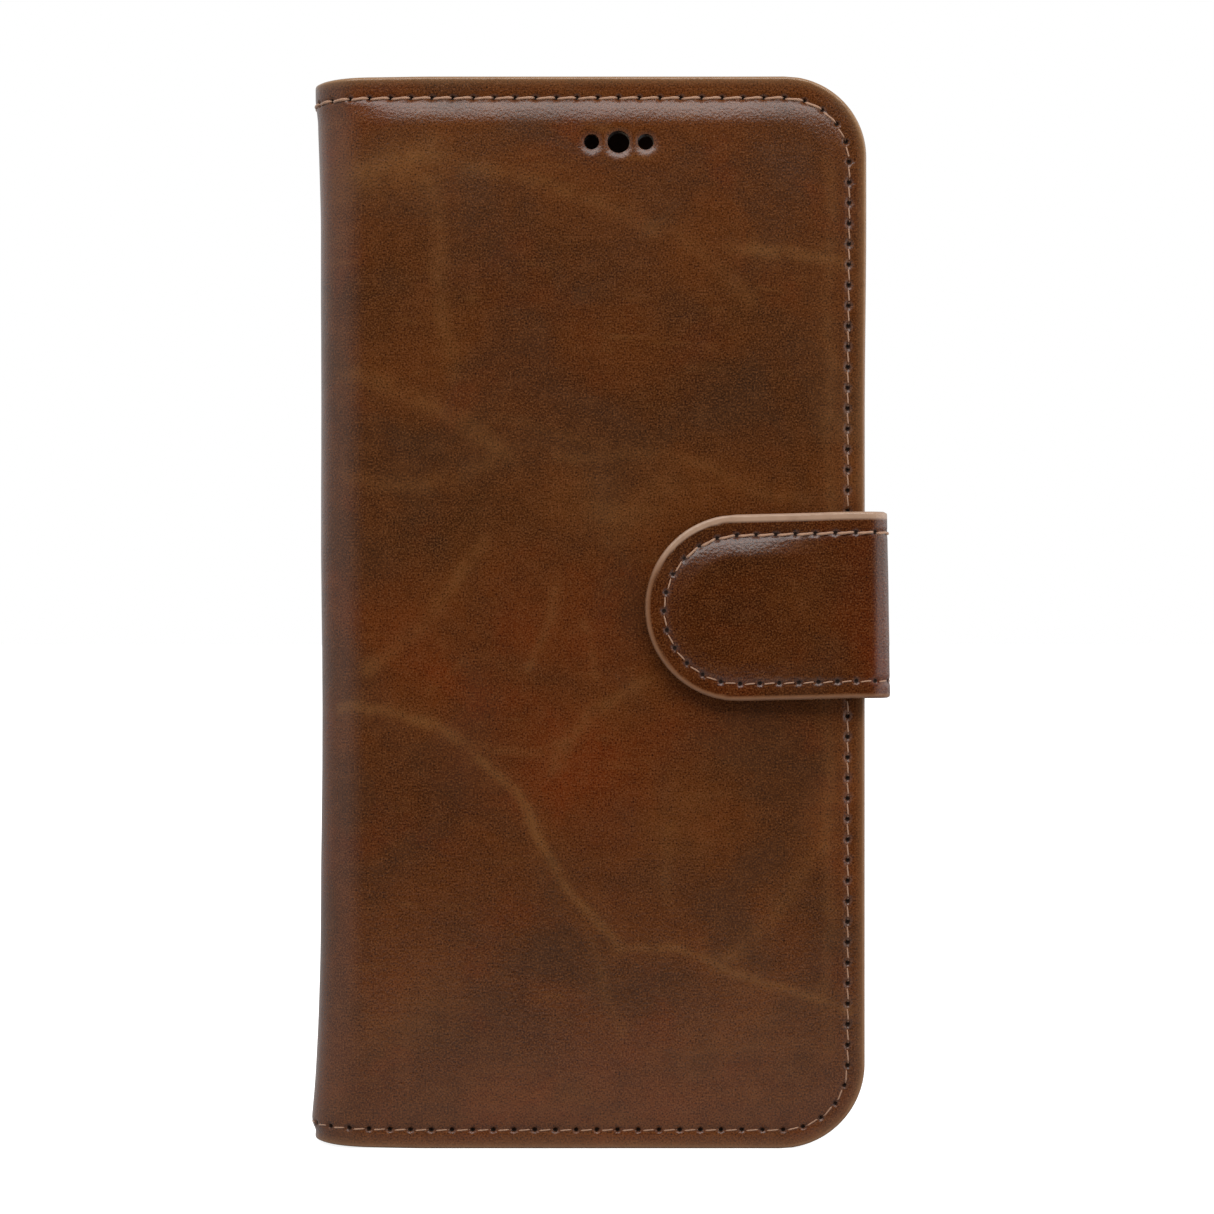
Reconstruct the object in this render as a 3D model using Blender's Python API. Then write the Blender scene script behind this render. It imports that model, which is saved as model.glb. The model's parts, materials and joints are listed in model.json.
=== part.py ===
"""Book-style phone wallet case in leather, with a magnetic clasp strap.

The case stands upright: X is its width (spine at -X, opening edge at +X), Y its
depth (front cover towards -Y) and Z its height. The origin is the centre of the
footprint. Five rigid bodies turn about vertical folds: the back panel carries the
phone shell, the spine folds on the back panel, the front cover folds on the spine,
and the strap folds twice on its way round the opening edge.
"""
import math

import bmesh
import bpy
from mathutils import Matrix, Vector

# Overall size
HEIGHT = 0.155
SPINE_X = -0.0414          # outer face of the spine
EDGE_X = 0.0379            # opening edge of both covers
STRAP_X = 0.0414           # outer face of the strap beside the opening edge
FACE_Y = 0.0105            # outer face of either cover, measured from the middle
STRAP_Y = 0.0132           # outer face of the strap over either cover
COVER_CORNER = 0.0118      # corner radius of the covers at the opening edge

# Layers of a cover, as depths below its outer face
LEATHER = (0.0, 0.0013)
BOARD = (0.0016, 0.0027)
LINING = (0.0030, 0.0036)
GAP = 0.0003               # clearance between neighbouring pieces

# Folds: the spine meets each cover in a rounded corner, split at its middle
SPINE_RADIUS = 0.0075
STRAP_RADIUS = 0.0032
SPINE_ARC = (SPINE_X + SPINE_RADIUS, FACE_Y - SPINE_RADIUS)
STRAP_ARC = (STRAP_X - STRAP_RADIUS, STRAP_Y - STRAP_RADIUS)
DIAGONAL = math.sqrt(0.5)
COVER_FOLD = (SPINE_ARC[0] - SPINE_RADIUS * DIAGONAL, -SPINE_ARC[1] - SPINE_RADIUS * DIAGONAL)
SPINE_FOLD = (COVER_FOLD[0], -COVER_FOLD[1])
TAB_FOLD = (STRAP_ARC[0] + STRAP_RADIUS * DIAGONAL, -STRAP_ARC[1] - STRAP_RADIUS * DIAGONAL)
SIDE_FOLD = (TAB_FOLD[0], -TAB_FOLD[1])

# Stiffening boards
BOARD_INSET = 0.0045
BOARD_X0 = SPINE_ARC[0] + 0.0008
BOARD_CORNER = 0.0080
BOARD_SPINE_CORNER = 0.0020
BOARD_WINDOW_SLACK = 0.0010    # the back board stands back from the camera window
BOARD_HOLE_SLACK = 0.0002      # and the front board from the earpiece holes
SPINE_BOARD_SLACK = 0.0002     # on each face of the spine's board
LINING_INSET = 0.0005

# Stitching: thread sunk in a groove that is cut into the leather
THREAD_RADIUS = 0.0002
THREAD_DEPTH = 0.0004
GROOVE_RADIUS = 0.0005
STITCH_INSET = 0.0025
STITCH_TOP = HEIGHT - 0.0032
STITCH_BOTTOM = 0.0027
GROOVE_OVERRUN = 8             # degrees that a groove runs past its fold

# Earpiece holes through the front cover: offset along X and radius
EAR_X = 0.0022
EAR_Z = HEIGHT - 0.0096
EAR_HOLES = ((-0.0039, 0.00105), (0.0, 0.0015), (0.0039, 0.00105))

# Camera window through the back panel and the shell
CAMERA = (0.0195, 0.1350)
CAMERA_SIZE = 0.0230
CAMERA_CORNER = 0.0055
CAMERA_LIP = 0.0012            # the shell's window is this much smaller on each side

# Wallet pockets on the inside of the front cover
POCKET_X = (-0.0295, 0.0353)
POCKET_Z = (0.0026, 0.1380)
POCKET_DEPTH = (0.0039, 0.0044)
POCKET_CORNERS = (0.0010, 0.0092, 0.0010, 0.0010)
SLOT_X = (-0.0255, 0.0312)
SLOT_BOTTOM = 0.0070
SLOT_TOPS = (0.1220, 0.1100, 0.0980)
SLOT_PITCH = 0.0008        # leaf thickness plus clearance
SLOT_THICKNESS = 0.0005
THUMB_RADIUS = 0.0150
THUMB_DEPTH = 0.0045
POCKET_STITCH_TURN = 0.0070

# Phone shell
SHELL_X = 0.0369
SHELL_Z = (0.0024, 0.1526)
SHELL_Y = (-0.0033, 0.0060)
SHELL_WALL = 0.0013
SHELL_FLOOR = 0.0011
SHELL_CORNER = 0.0100
SHELL_EDGE = 0.0030
PORT_HALF_WIDTH = 0.0065
PORT_Y = (-0.0010, 0.0042)
SPEAKER_X = (0.0120, 0.0220)
SPEAKER_Y = (0.0006, 0.0026)
BUTTON_PROUD = 0.0004
BUTTON_Y = (-0.0005, 0.0025)
BUTTON_PADS = (("volume", -1, 0.0980, 0.1220), ("power", 1, 0.1040, 0.1180))   # name, side, Z range
ADHESIVE = (0.0063, 0.0066)
ADHESIVE_X = 0.0300
ADHESIVE_Z = (0.0120, 0.1150)
ADHESIVE_CORNER = 0.0040

# Clasp strap
STRAP_HALF_WIDTH = 0.0134
STRAP_Z = 0.0787
STRAP_LEATHER = (0.0, 0.0014)
STRAP_LINING = (0.0017, 0.0023)
STRAP_STITCH_INSET = 0.0027
TAB_TIP_X = 0.0061
TAB_TILT = math.radians(1.3)
ANCHOR_X = 0.0120
ANCHOR_CORNER = 0.0030
MAGNET_SIZE = (0.0100, 0.0140, 0.0006)
MAGNET_X = 0.0175
MAGNET_SINK = 0.0005           # how deep the magnet sits in the back of the leather
KEEPER_SIZE = (0.0120, 0.0200, 0.0006)
METAL_CORNER = 0.0008          # corner radius of the magnet and of the keeper plate

ROUND_STEPS = 8            # segments in a quarter turn of an outline
FOLD_STEPS = 6             # segments in half of a fold's rounded corner
OVERRUN = 0.0020           # how far a section or a cutter runs past what it meets


def clear_scene():
    for obj in list(bpy.data.objects):
        bpy.data.objects.remove(obj, do_unlink=True)


def new_collection(name):
    group = bpy.data.collections.new(name)
    bpy.context.scene.collection.children.link(group)
    return group


def make_material(name, colour, roughness, metallic=0.0):
    mat = bpy.data.materials.new(name)
    mat.use_nodes = True
    shader = mat.node_tree.nodes["Principled BSDF"]
    shader.inputs["Base Color"].default_value = (*colour, 1.0)
    shader.inputs["Roughness"].default_value = roughness
    shader.inputs["Metallic"].default_value = metallic
    return mat


# ---- outlines -------------------------------------------------------------

def arc(centre, radius, start, end, steps=ROUND_STEPS):
    """Points on an arc from start to end, in degrees, both ends included."""
    turn = [math.radians(start + (end - start) * i / steps) for i in range(steps + 1)]
    return [(centre[0] + radius * math.cos(t), centre[1] + radius * math.sin(t)) for t in turn]


def rounded_box(x0, x1, z0, z1, radii):
    """A rectangle; radii are for its corners from low X, low Z, anticlockwise."""
    corners = ((x0, z0, 1, 1, 180), (x1, z0, -1, 1, 270), (x1, z1, -1, -1, 0), (x0, z1, 1, -1, 90))
    points = []
    for (x, z, sx, sz, start), radius in zip(corners, radii):
        if radius:
            points += arc((x + sx * radius, z + sz * radius), radius, start, start + 90)
        else:
            points.append((x, z))
    return points


def circle(x, z, radius, steps=16):
    return arc((x, z), radius, 0, 360 * (steps - 1) / steps, steps - 1)


def cover_outline(inset=0.0):
    """A cover seen from the front, square at the spine and round at the opening edge."""
    radius = COVER_CORNER - inset
    return rounded_box(SPINE_X - OVERRUN, EDGE_X - inset, inset, HEIGHT - inset,
                       (0, radius, radius, 0))


def board_outline():
    return rounded_box(BOARD_X0, EDGE_X - BOARD_INSET, BOARD_INSET, HEIGHT - BOARD_INSET,
                       (BOARD_SPINE_CORNER, BOARD_CORNER, BOARD_CORNER, BOARD_SPINE_CORNER))


def camera_outline(grow=0.0):
    half = CAMERA_SIZE / 2 + grow
    return rounded_box(CAMERA[0] - half, CAMERA[0] + half, CAMERA[1] - half, CAMERA[1] + half,
                       (CAMERA_CORNER + grow,) * 4)


def ear_outlines(grow=0.0):
    return [circle(EAR_X + dx, EAR_Z, radius + grow) for dx, radius in EAR_HOLES]


def cut_angle(radius):
    """The angle that half the clearance takes up on an arc, in degrees."""
    return math.degrees(math.asin(GAP / 2 / radius))


def layer_profile(depths, centre, radius, flat_end, heading):
    """Section of one cover layer: flat from flat_end, then round to the 45 degree cut.

    It is drawn for the back (+Y). heading is +1 where the round corner is at -X of
    the flat and -1 where it is at +X.
    """
    outer, inner = radius - depths[0], radius - depths[1]
    middle = 90 + 45 * heading
    rim = arc(centre, outer, 90, middle - heading * cut_angle(outer), FOLD_STEPS)
    inside = arc(centre, inner, middle - heading * cut_angle(inner), 90, FOLD_STEPS)
    return [(flat_end, centre[1] + outer)] + rim + inside + [(flat_end, centre[1] + inner)]


def link_profile(depths, centre, radius, side):
    """Section of a layer that links front to back, from one 45 degree cut to the other.

    side is -1 for a link on the -X side and +1 for one on the +X side.
    """
    outer, inner = radius - depths[0], radius - depths[1]
    ends = []
    for ring in (outer, inner):
        start = 90 - (45 + cut_angle(ring)) * side
        back = arc(centre, ring, start, 90 - 90 * side, FOLD_STEPS)
        ends.append(back + [(x, -y) for x, y in reversed(back)])
    return ends[0] + ends[1][::-1]


# ---- solids ---------------------------------------------------------------

def curve_object(name, outlines, thickness, group):
    """A flat curve filled and extruded through thickness, centred on its plane."""
    curve = bpy.data.curves.new(name, "CURVE")
    curve.dimensions = "2D"
    curve.fill_mode = "BOTH"
    curve.extrude = thickness / 2
    for outline in outlines:
        spline = curve.splines.new("POLY")
        spline.points.add(len(outline) - 1)
        spline.use_cyclic_u = True
        for point, (u, v) in zip(spline.points, outline):
            point.co = (u, v, 0.0, 1.0)
    obj = bpy.data.objects.new(name, curve)
    group.objects.link(obj)
    return obj


def to_mesh(obj, group):
    """The evaluated curve as a welded mesh object with the same name and place."""
    bpy.context.view_layer.update()
    place = obj.matrix_world.copy()
    mesh = bpy.data.meshes.new_from_object(obj.evaluated_get(bpy.context.evaluated_depsgraph_get()))
    name = obj.name
    bpy.data.objects.remove(obj, do_unlink=True)
    bm = bmesh.new()
    bm.from_mesh(mesh)
    bmesh.ops.remove_doubles(bm, verts=bm.verts, dist=1e-6)
    bmesh.ops.recalc_face_normals(bm, faces=bm.faces)
    bm.to_mesh(mesh)
    bm.free()
    solid = bpy.data.objects.new(name, mesh)
    solid.matrix_world = place
    group.objects.link(solid)
    return solid


def plate(name, outlines, y_range, group):
    """A flat piece parallel to the covers; the first outline is its rim, the rest are holes."""
    obj = curve_object(name, outlines, y_range[1] - y_range[0], group)
    obj.rotation_euler = (math.pi / 2, 0.0, 0.0)
    obj.location = (0.0, (y_range[0] + y_range[1]) / 2, 0.0)
    return obj


def prism(name, outline, z_range, group):
    """A piece with a constant section along Z."""
    obj = curve_object(name, [outline], z_range[1] - z_range[0], group)
    obj.location = (0.0, 0.0, (z_range[0] + z_range[1]) / 2)
    return to_mesh(obj, group)


def thread(name, route, radius, group, resolution=2):
    """A round thread along a route of points."""
    curve = bpy.data.curves.new(name, "CURVE")
    curve.dimensions = "3D"
    curve.bevel_depth = radius
    curve.bevel_resolution = resolution
    curve.use_fill_caps = True
    spline = curve.splines.new("POLY")
    spline.points.add(len(route) - 1)
    for point, place in zip(spline.points, route):
        point.co = (*place, 1.0)
    obj = bpy.data.objects.new(name, curve)
    group.objects.link(obj)
    return obj


def cube(name, low, high, group):
    bm = bmesh.new()
    bmesh.ops.create_cube(bm, size=1.0)
    size = Vector(high) - Vector(low)
    centre = (Vector(high) + Vector(low)) / 2
    bmesh.ops.transform(bm, matrix=Matrix.Diagonal((*size, 1.0)), verts=bm.verts)
    mesh = bpy.data.meshes.new(name)
    bm.to_mesh(mesh)
    bm.free()
    obj = bpy.data.objects.new(name, mesh)
    obj.location = centre
    group.objects.link(obj)
    return obj


def combine(obj, cutter, operation):
    cutter.hide_render = True
    cutter.display_type = "WIRE"
    step = obj.modifiers.new(cutter.name, "BOOLEAN")
    step.operation = operation
    step.solver = "EXACT"
    step.object = cutter


def trim(obj, outlines, cutters):
    """Keep what lies inside an outline that is seen from the front."""
    reach = 2 * STRAP_Y
    shape = to_mesh(plate(obj.name + "_outline", outlines, (-reach, reach), cutters), cutters)
    combine(obj, shape, "INTERSECT")


def groove(obj, route, cutters):
    """Cut the groove that a thread lies in."""
    cutter = to_mesh(thread(obj.name + "_groove", route, GROOVE_RADIUS, cutters, 1), cutters)
    combine(obj, cutter, "DIFFERENCE")


# ---- stitch routes --------------------------------------------------------

def fold_route(centre, radius, side_x, z, sign, extend):
    """Along a rounded corner at height z, from its 45 degree cut to the flat of a cover.

    side_x is -1 for a corner at -X and +1 for one at +X; sign is -1 for the front.
    extend runs the route past the cut, for a groove.
    """
    short = -GROOVE_OVERRUN if extend else 2 * cut_angle(radius)
    start = 90 - (45 - short) * side_x
    return [(x, sign * y, z) for x, y in arc(centre, radius, start, 90, FOLD_STEPS)]


def cover_stitch(sign, extend=False):
    """Top, opening edge and bottom of a cover, from fold to fold."""
    radius = SPINE_RADIUS - THREAD_DEPTH
    y = sign * (FACE_Y - THREAD_DEPTH)
    turn = COVER_CORNER - STITCH_INSET
    x = EDGE_X - STITCH_INSET
    outline = arc((x - turn, STITCH_TOP - turn), turn, 90, 0)
    outline += arc((x - turn, STITCH_BOTTOM + turn), turn, 0, -90)
    top = fold_route(SPINE_ARC, radius, -1, STITCH_TOP, sign, extend)
    bottom = fold_route(SPINE_ARC, radius, -1, STITCH_BOTTOM, sign, extend)
    return top + [(u, y, v) for u, v in outline] + bottom[::-1]


def link_stitch(centre, radius, side, z, extend=False):
    """Round the outside of the spine or the strap's side at height z."""
    short = -GROOVE_OVERRUN if extend else 2 * cut_angle(radius)
    back = arc(centre, radius, 90 - (45 + short) * side, 90 - 90 * side, FOLD_STEPS)
    section = back + [(x, -y) for x, y in reversed(back)]
    return [(x, y, z) for x, y in section]


def tilt(point):
    """Tip the free end of the strap down about the fold at the opening edge."""
    x, z = point
    dx, dz = x - STRAP_ARC[0], z - STRAP_Z
    cos, sin = math.cos(TAB_TILT), math.sin(TAB_TILT)
    return (STRAP_ARC[0] + dx * cos - dz * sin, STRAP_Z + dx * sin + dz * cos)


def tab_outline(half_width, right):
    """The strap's tab from the front: straight from the fold, with a half-round tip."""
    tip = TAB_TIP_X + STRAP_HALF_WIDTH
    round_end = arc((tip, STRAP_Z), half_width, 90, 270, 2 * ROUND_STEPS)
    return [(right, STRAP_Z + half_width)] + round_end + [(right, STRAP_Z - half_width)]


def tab_stitch(extend=False):
    half = STRAP_HALF_WIDTH - STRAP_STITCH_INSET
    y = -(STRAP_Y - THREAD_DEPTH)
    radius = STRAP_RADIUS - THREAD_DEPTH
    upper = fold_route(STRAP_ARC, radius, 1, STRAP_Z + half, -1, extend)
    lower = fold_route(STRAP_ARC, radius, 1, STRAP_Z - half, -1, extend)
    flat = [tilt(p) for p in tab_outline(half, STRAP_ARC[0])[1:-1]]
    return upper + [(x, y, z) for x, z in flat] + lower[::-1]


def anchor_stitch(extend=False):
    half = STRAP_HALF_WIDTH - STRAP_STITCH_INSET
    y = STRAP_Y - THREAD_DEPTH
    x = ANCHOR_X + STRAP_STITCH_INSET
    radius = STRAP_RADIUS - THREAD_DEPTH
    upper = fold_route(STRAP_ARC, radius, 1, STRAP_Z + half, 1, extend)
    lower = fold_route(STRAP_ARC, radius, 1, STRAP_Z - half, 1, extend)
    return upper + [(x, y, STRAP_Z + half), (x, y, STRAP_Z - half)] + lower[::-1]


# ---- pieces ---------------------------------------------------------------

def mirror_y(profile):
    return [(x, -y) for x, y in reversed(profile)]


def cover_layer(name, depths, sign, outlines, parts, cutters):
    """A leather or lining of one cover, with its half of the rounded corner."""
    profile = layer_profile(depths, SPINE_ARC, SPINE_RADIUS, EDGE_X + OVERRUN, 1)
    if sign < 0:
        profile = mirror_y(profile)
    obj = prism(name, profile, (-OVERRUN, HEIGHT + OVERRUN), parts)
    trim(obj, outlines, cutters)
    return obj


def depth_range(depths, sign):
    """The Y range of a layer, from its depths below the cover's outer face."""
    return tuple(sorted(sign * (FACE_Y - d) for d in depths))


def make_front_cover(parts, cutters):
    leather = cover_layer("front_leather", LEATHER, -1,
                          [cover_outline()] + ear_outlines(), parts, cutters)
    groove(leather, cover_stitch(-1, extend=True), cutters)
    lining = cover_layer("front_lining", LINING, -1,
                         [cover_outline(LINING_INSET)] + ear_outlines(), parts, cutters)
    keeper_hole = centred_box(MAGNET_X, KEEPER_SIZE, GAP)
    holes = [keeper_hole] + ear_outlines(BOARD_HOLE_SLACK)
    board = plate("front_board", [board_outline()] + holes, depth_range(BOARD, -1), parts)
    middle = FACE_Y - sum(BOARD) / 2
    keeper = plate("clasp_keeper_plate", [centred_box(MAGNET_X, KEEPER_SIZE, 0.0)],
                   (-middle - KEEPER_SIZE[2] / 2, -middle + KEEPER_SIZE[2] / 2), parts)
    stitching = thread("front_stitching", cover_stitch(-1), THREAD_RADIUS, parts)
    return {"leather": [leather, lining], "board": [board], "steel": [keeper],
            "thread": [stitching]}


def centred_box(x, size, grow):
    """A magnet-shaped outline at X, at the height where the strap's tab lies."""
    half_x, half_z = size[0] / 2 + grow, size[1] / 2 + grow
    z = tilt((x, STRAP_Z))[1]
    return rounded_box(x - half_x, x + half_x, z - half_z, z + half_z, (METAL_CORNER + grow,) * 4)


def slot_outline(top):
    """A card-slot leaf with a shallow thumb notch in its top edge."""
    middle = sum(SLOT_X) / 2
    half = math.sqrt(THUMB_RADIUS ** 2 - (THUMB_RADIUS - THUMB_DEPTH) ** 2)
    angle = math.degrees(math.asin(half / THUMB_RADIUS))
    notch = arc((middle, top + THUMB_RADIUS - THUMB_DEPTH), THUMB_RADIUS, 270 + angle, 270 - angle)
    return ([(SLOT_X[0], SLOT_BOTTOM), (SLOT_X[1], SLOT_BOTTOM), (SLOT_X[1], top)] + notch
            + [(SLOT_X[0], top)])


def make_pockets(parts):
    panel = plate("cash_pocket_panel", [rounded_box(*POCKET_X, *POCKET_Z, POCKET_CORNERS)],
                  depth_range(POCKET_DEPTH, -1), parts)
    leaves = []
    for i, top in enumerate(SLOT_TOPS):
        depth = POCKET_DEPTH[1] + GAP + i * SLOT_PITCH
        leaves.append(plate(f"card_slot_{i + 1}", [slot_outline(top)],
                            depth_range((depth, depth + SLOT_THICKNESS), -1), parts))
    y = -(FACE_Y - POCKET_DEPTH[1]) + GAP + THREAD_RADIUS
    left, right = (POCKET_X[0] + SLOT_X[0]) / 2, (POCKET_X[1] + SLOT_X[1]) / 2
    bottom = (POCKET_Z[0] + SLOT_BOTTOM) / 2
    turn = POCKET_STITCH_TURN
    route = [(left, y, POCKET_Z[1]), (left, y, bottom)]
    route += [(u, y, v) for u, v in arc((right - turn, bottom + turn), turn, 270, 360)]
    route.append((right, y, POCKET_Z[1]))
    stitching = thread("card_panel_stitching", route, THREAD_RADIUS, parts)
    return {"leather": [panel] + leaves, "thread": [stitching]}


def make_spine(parts, cutters):
    leather = prism("spine_leather", link_profile(LEATHER, SPINE_ARC, SPINE_RADIUS, -1),
                    (0.0, HEIGHT), parts)
    lining = prism("spine_lining", link_profile(LINING, SPINE_ARC, SPINE_RADIUS, -1),
                   (LINING_INSET, HEIGHT - LINING_INSET), parts)
    inner, outer = SPINE_X + BOARD[1] - SPINE_BOARD_SLACK, SPINE_X + BOARD[0] + SPINE_BOARD_SLACK
    board = cube("spine_board", (outer, -SPINE_ARC[1], BOARD_INSET),
                 (inner, SPINE_ARC[1], HEIGHT - BOARD_INSET), parts)
    threads = []
    for name, z in (("top", STITCH_TOP), ("bottom", STITCH_BOTTOM)):
        radius = SPINE_RADIUS - THREAD_DEPTH
        groove(leather, link_stitch(SPINE_ARC, radius, -1, z, extend=True), cutters)
        threads.append(thread(f"spine_stitch_{name}", link_stitch(SPINE_ARC, radius, -1, z),
                              THREAD_RADIUS, parts))
    return {"leather": [leather, lining], "board": [board], "thread": threads}


def make_back_panel(parts, cutters):
    leather = cover_layer("back_leather", LEATHER, 1,
                          [cover_outline(), camera_outline()], parts, cutters)
    groove(leather, cover_stitch(1, extend=True), cutters)
    lining = cover_layer("back_lining", LINING, 1,
                         [cover_outline(LINING_INSET), camera_outline()], parts, cutters)
    board = plate("back_board", [board_outline(), camera_outline(BOARD_WINDOW_SLACK)],
                  depth_range(BOARD, 1), parts)
    stitching = thread("back_stitching", cover_stitch(1), THREAD_RADIUS, parts)
    pad = rounded_box(-ADHESIVE_X, ADHESIVE_X, *ADHESIVE_Z, (ADHESIVE_CORNER,) * 4)
    adhesive = plate("shell_adhesive", [pad], ADHESIVE, parts)
    return {"leather": [leather, lining], "board": [board], "thread": [stitching],
            "adhesive": [adhesive]}


def shell_blank(name, group):
    """The outside of the phone shell: a rounded tray with softened back edges."""
    outline = rounded_box(-SHELL_X, SHELL_X, *SHELL_Z, (SHELL_CORNER,) * 4)
    obj = to_mesh(plate(name, [outline], SHELL_Y, group), group)
    bm = bmesh.new()
    bm.from_mesh(obj.data)
    back = min(v.co.z for v in bm.verts)
    rim = [e for e in bm.edges if len(e.link_faces) == 2
           and all(abs(v.co.z - back) < 1e-5 for v in e.verts)
           and abs(e.calc_face_angle(0.0)) > 0.5]
    bmesh.ops.bevel(bm, geom=rim, offset=SHELL_EDGE, segments=4, profile=0.5, affect="EDGES")
    bm.to_mesh(obj.data)
    bm.free()
    return obj


def make_shell(parts, cutters):
    shell = shell_blank("phone_shell", parts)
    for name, side, low, high in BUTTON_PADS:
        xs = sorted((side * (SHELL_X + BUTTON_PROUD), side * (SHELL_X - SHELL_WALL / 2)))
        pad = cube(f"{name}_pad", (xs[0], BUTTON_Y[0], low), (xs[1], BUTTON_Y[1], high), cutters)
        combine(shell, pad, "UNION")
    cavity = rounded_box(-SHELL_X + SHELL_WALL, SHELL_X - SHELL_WALL, SHELL_Z[0] + SHELL_WALL,
                         SHELL_Z[1] - SHELL_WALL, (SHELL_CORNER - SHELL_WALL,) * 4)
    for name, outline, y_range in (
            ("shell_cavity", cavity, (SHELL_Y[0] - OVERRUN, SHELL_Y[1] - SHELL_FLOOR)),
            ("camera_cut", camera_outline(-CAMERA_LIP), (SHELL_Y[1] - 1.5 * OVERRUN, SHELL_Y[1] + OVERRUN))):
        combine(shell, to_mesh(plate(name, [outline], y_range, cutters), cutters), "DIFFERENCE")
    cuts = [("port_cut", (-PORT_HALF_WIDTH, PORT_HALF_WIDTH), PORT_Y)]
    cuts += [(f"speaker_cut_{side}", sorted(side * x for x in SPEAKER_X), SPEAKER_Y) for side in (-1, 1)]
    for name, xs, ys in cuts:
        cut = cube(name, (xs[0], ys[0], SHELL_Z[0] - OVERRUN), (xs[1], ys[1], SHELL_Z[0] + OVERRUN),
                   cutters)
        combine(shell, cut, "DIFFERENCE")
    return {"shell": [shell]}


def strap_end(name, depths, sign, flat_end, outline, parts, cutters):
    """A layer of the strap that lies on a cover, with its half of the rounded fold."""
    profile = layer_profile(depths, STRAP_ARC, STRAP_RADIUS, flat_end, -1)
    if sign < 0:
        profile = mirror_y(profile)
    reach = STRAP_HALF_WIDTH + OVERRUN
    obj = prism(name, profile, (STRAP_Z - reach, STRAP_Z + reach), parts)
    trim(obj, [outline], cutters)
    return obj


def make_strap_tab(parts, cutters):
    outline = [tilt(p) for p in tab_outline(STRAP_HALF_WIDTH, STRAP_X + OVERRUN)]
    start = TAB_TIP_X - OVERRUN
    leather = strap_end("strap_tab_leather", STRAP_LEATHER, -1, start, outline, parts, cutters)
    lining = strap_end("strap_tab_lining", STRAP_LINING, -1, start, outline, parts, cutters)
    groove(leather, tab_stitch(extend=True), cutters)
    inner = -(STRAP_Y - STRAP_LEATHER[1])
    recess = plate("magnet_recess", [centred_box(MAGNET_X, MAGNET_SIZE, GAP)],
                   (inner - MAGNET_SINK - GAP, inner + GAP), cutters)
    combine(leather, to_mesh(recess, cutters), "DIFFERENCE")
    magnet = plate("strap_magnet", [centred_box(MAGNET_X, MAGNET_SIZE, 0.0)],
                   (inner - MAGNET_SINK, inner - MAGNET_SINK + MAGNET_SIZE[2]), parts)
    stitching = thread("strap_tab_stitching", tab_stitch(), THREAD_RADIUS, parts)
    return {"leather": [leather, lining], "steel": [magnet], "thread": [stitching]}


def make_strap_side(parts, cutters):
    z_range = (STRAP_Z - STRAP_HALF_WIDTH, STRAP_Z + STRAP_HALF_WIDTH)
    leather = prism("strap_side_leather", link_profile(STRAP_LEATHER, STRAP_ARC, STRAP_RADIUS, 1),
                    z_range, parts)
    lining = prism("strap_side_lining", link_profile(STRAP_LINING, STRAP_ARC, STRAP_RADIUS, 1),
                   z_range, parts)
    threads = []
    half = STRAP_HALF_WIDTH - STRAP_STITCH_INSET
    for name, z in (("top", STRAP_Z + half), ("bottom", STRAP_Z - half)):
        radius = STRAP_RADIUS - THREAD_DEPTH
        groove(leather, link_stitch(STRAP_ARC, radius, 1, z, extend=True), cutters)
        threads.append(thread(f"strap_side_stitch_{name}", link_stitch(STRAP_ARC, radius, 1, z),
                              THREAD_RADIUS, parts))
    return {"leather": [leather, lining], "thread": threads}


def make_strap_anchor(parts, cutters):
    outline = rounded_box(ANCHOR_X, STRAP_X + OVERRUN, STRAP_Z - STRAP_HALF_WIDTH,
                          STRAP_Z + STRAP_HALF_WIDTH, (ANCHOR_CORNER, 0, 0, ANCHOR_CORNER))
    start = ANCHOR_X - OVERRUN
    leather = strap_end("strap_anchor_leather", STRAP_LEATHER, 1, start, outline, parts, cutters)
    lining = strap_end("strap_anchor_lining", STRAP_LINING, 1, start, outline, parts, cutters)
    groove(leather, anchor_stitch(extend=True), cutters)
    stitching = thread("strap_anchor_stitching", anchor_stitch(), THREAD_RADIUS, parts)
    return {"leather": [leather, lining], "thread": [stitching]}


# ---- assembly -------------------------------------------------------------

FINISHES = {
    "leather": ((0.105, 0.036, 0.014), 0.45, 0.0),
    "board": ((0.35, 0.29, 0.22), 0.85, 0.0),
    "thread": ((0.42, 0.25, 0.16), 0.60, 0.0),
    "steel": ((0.55, 0.56, 0.58), 0.35, 1.0),
    "adhesive": ((0.80, 0.79, 0.74), 0.50, 0.0),
    "shell": ((0.060, 0.024, 0.012), 0.40, 0.0),
}


def hinge_empty(name, place, parent, group):
    empty = bpy.data.objects.new(name, None)
    empty.location = (place[0], place[1], 0.0)
    if parent:
        empty.parent = parent
        empty.location -= parent.matrix_world.translation
    group.objects.link(empty)
    bpy.context.view_layer.update()
    return empty


def attach(piece, empty):
    """Hang a piece on the empty at its fold, without moving the piece."""
    piece.parent = empty
    piece.matrix_parent_inverse = empty.matrix_world.inverted()


def finish_pieces(bodies, empties):
    for body, made in bodies.items():
        for finish, pieces in made:
            colour, roughness, metallic = FINISHES[finish]
            for piece in pieces:
                mat = make_material(piece.name, colour, roughness, metallic)
                piece.data.materials.clear()
                piece.data.materials.append(mat)
                if empties.get(body):
                    attach(piece, empties[body])


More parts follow.
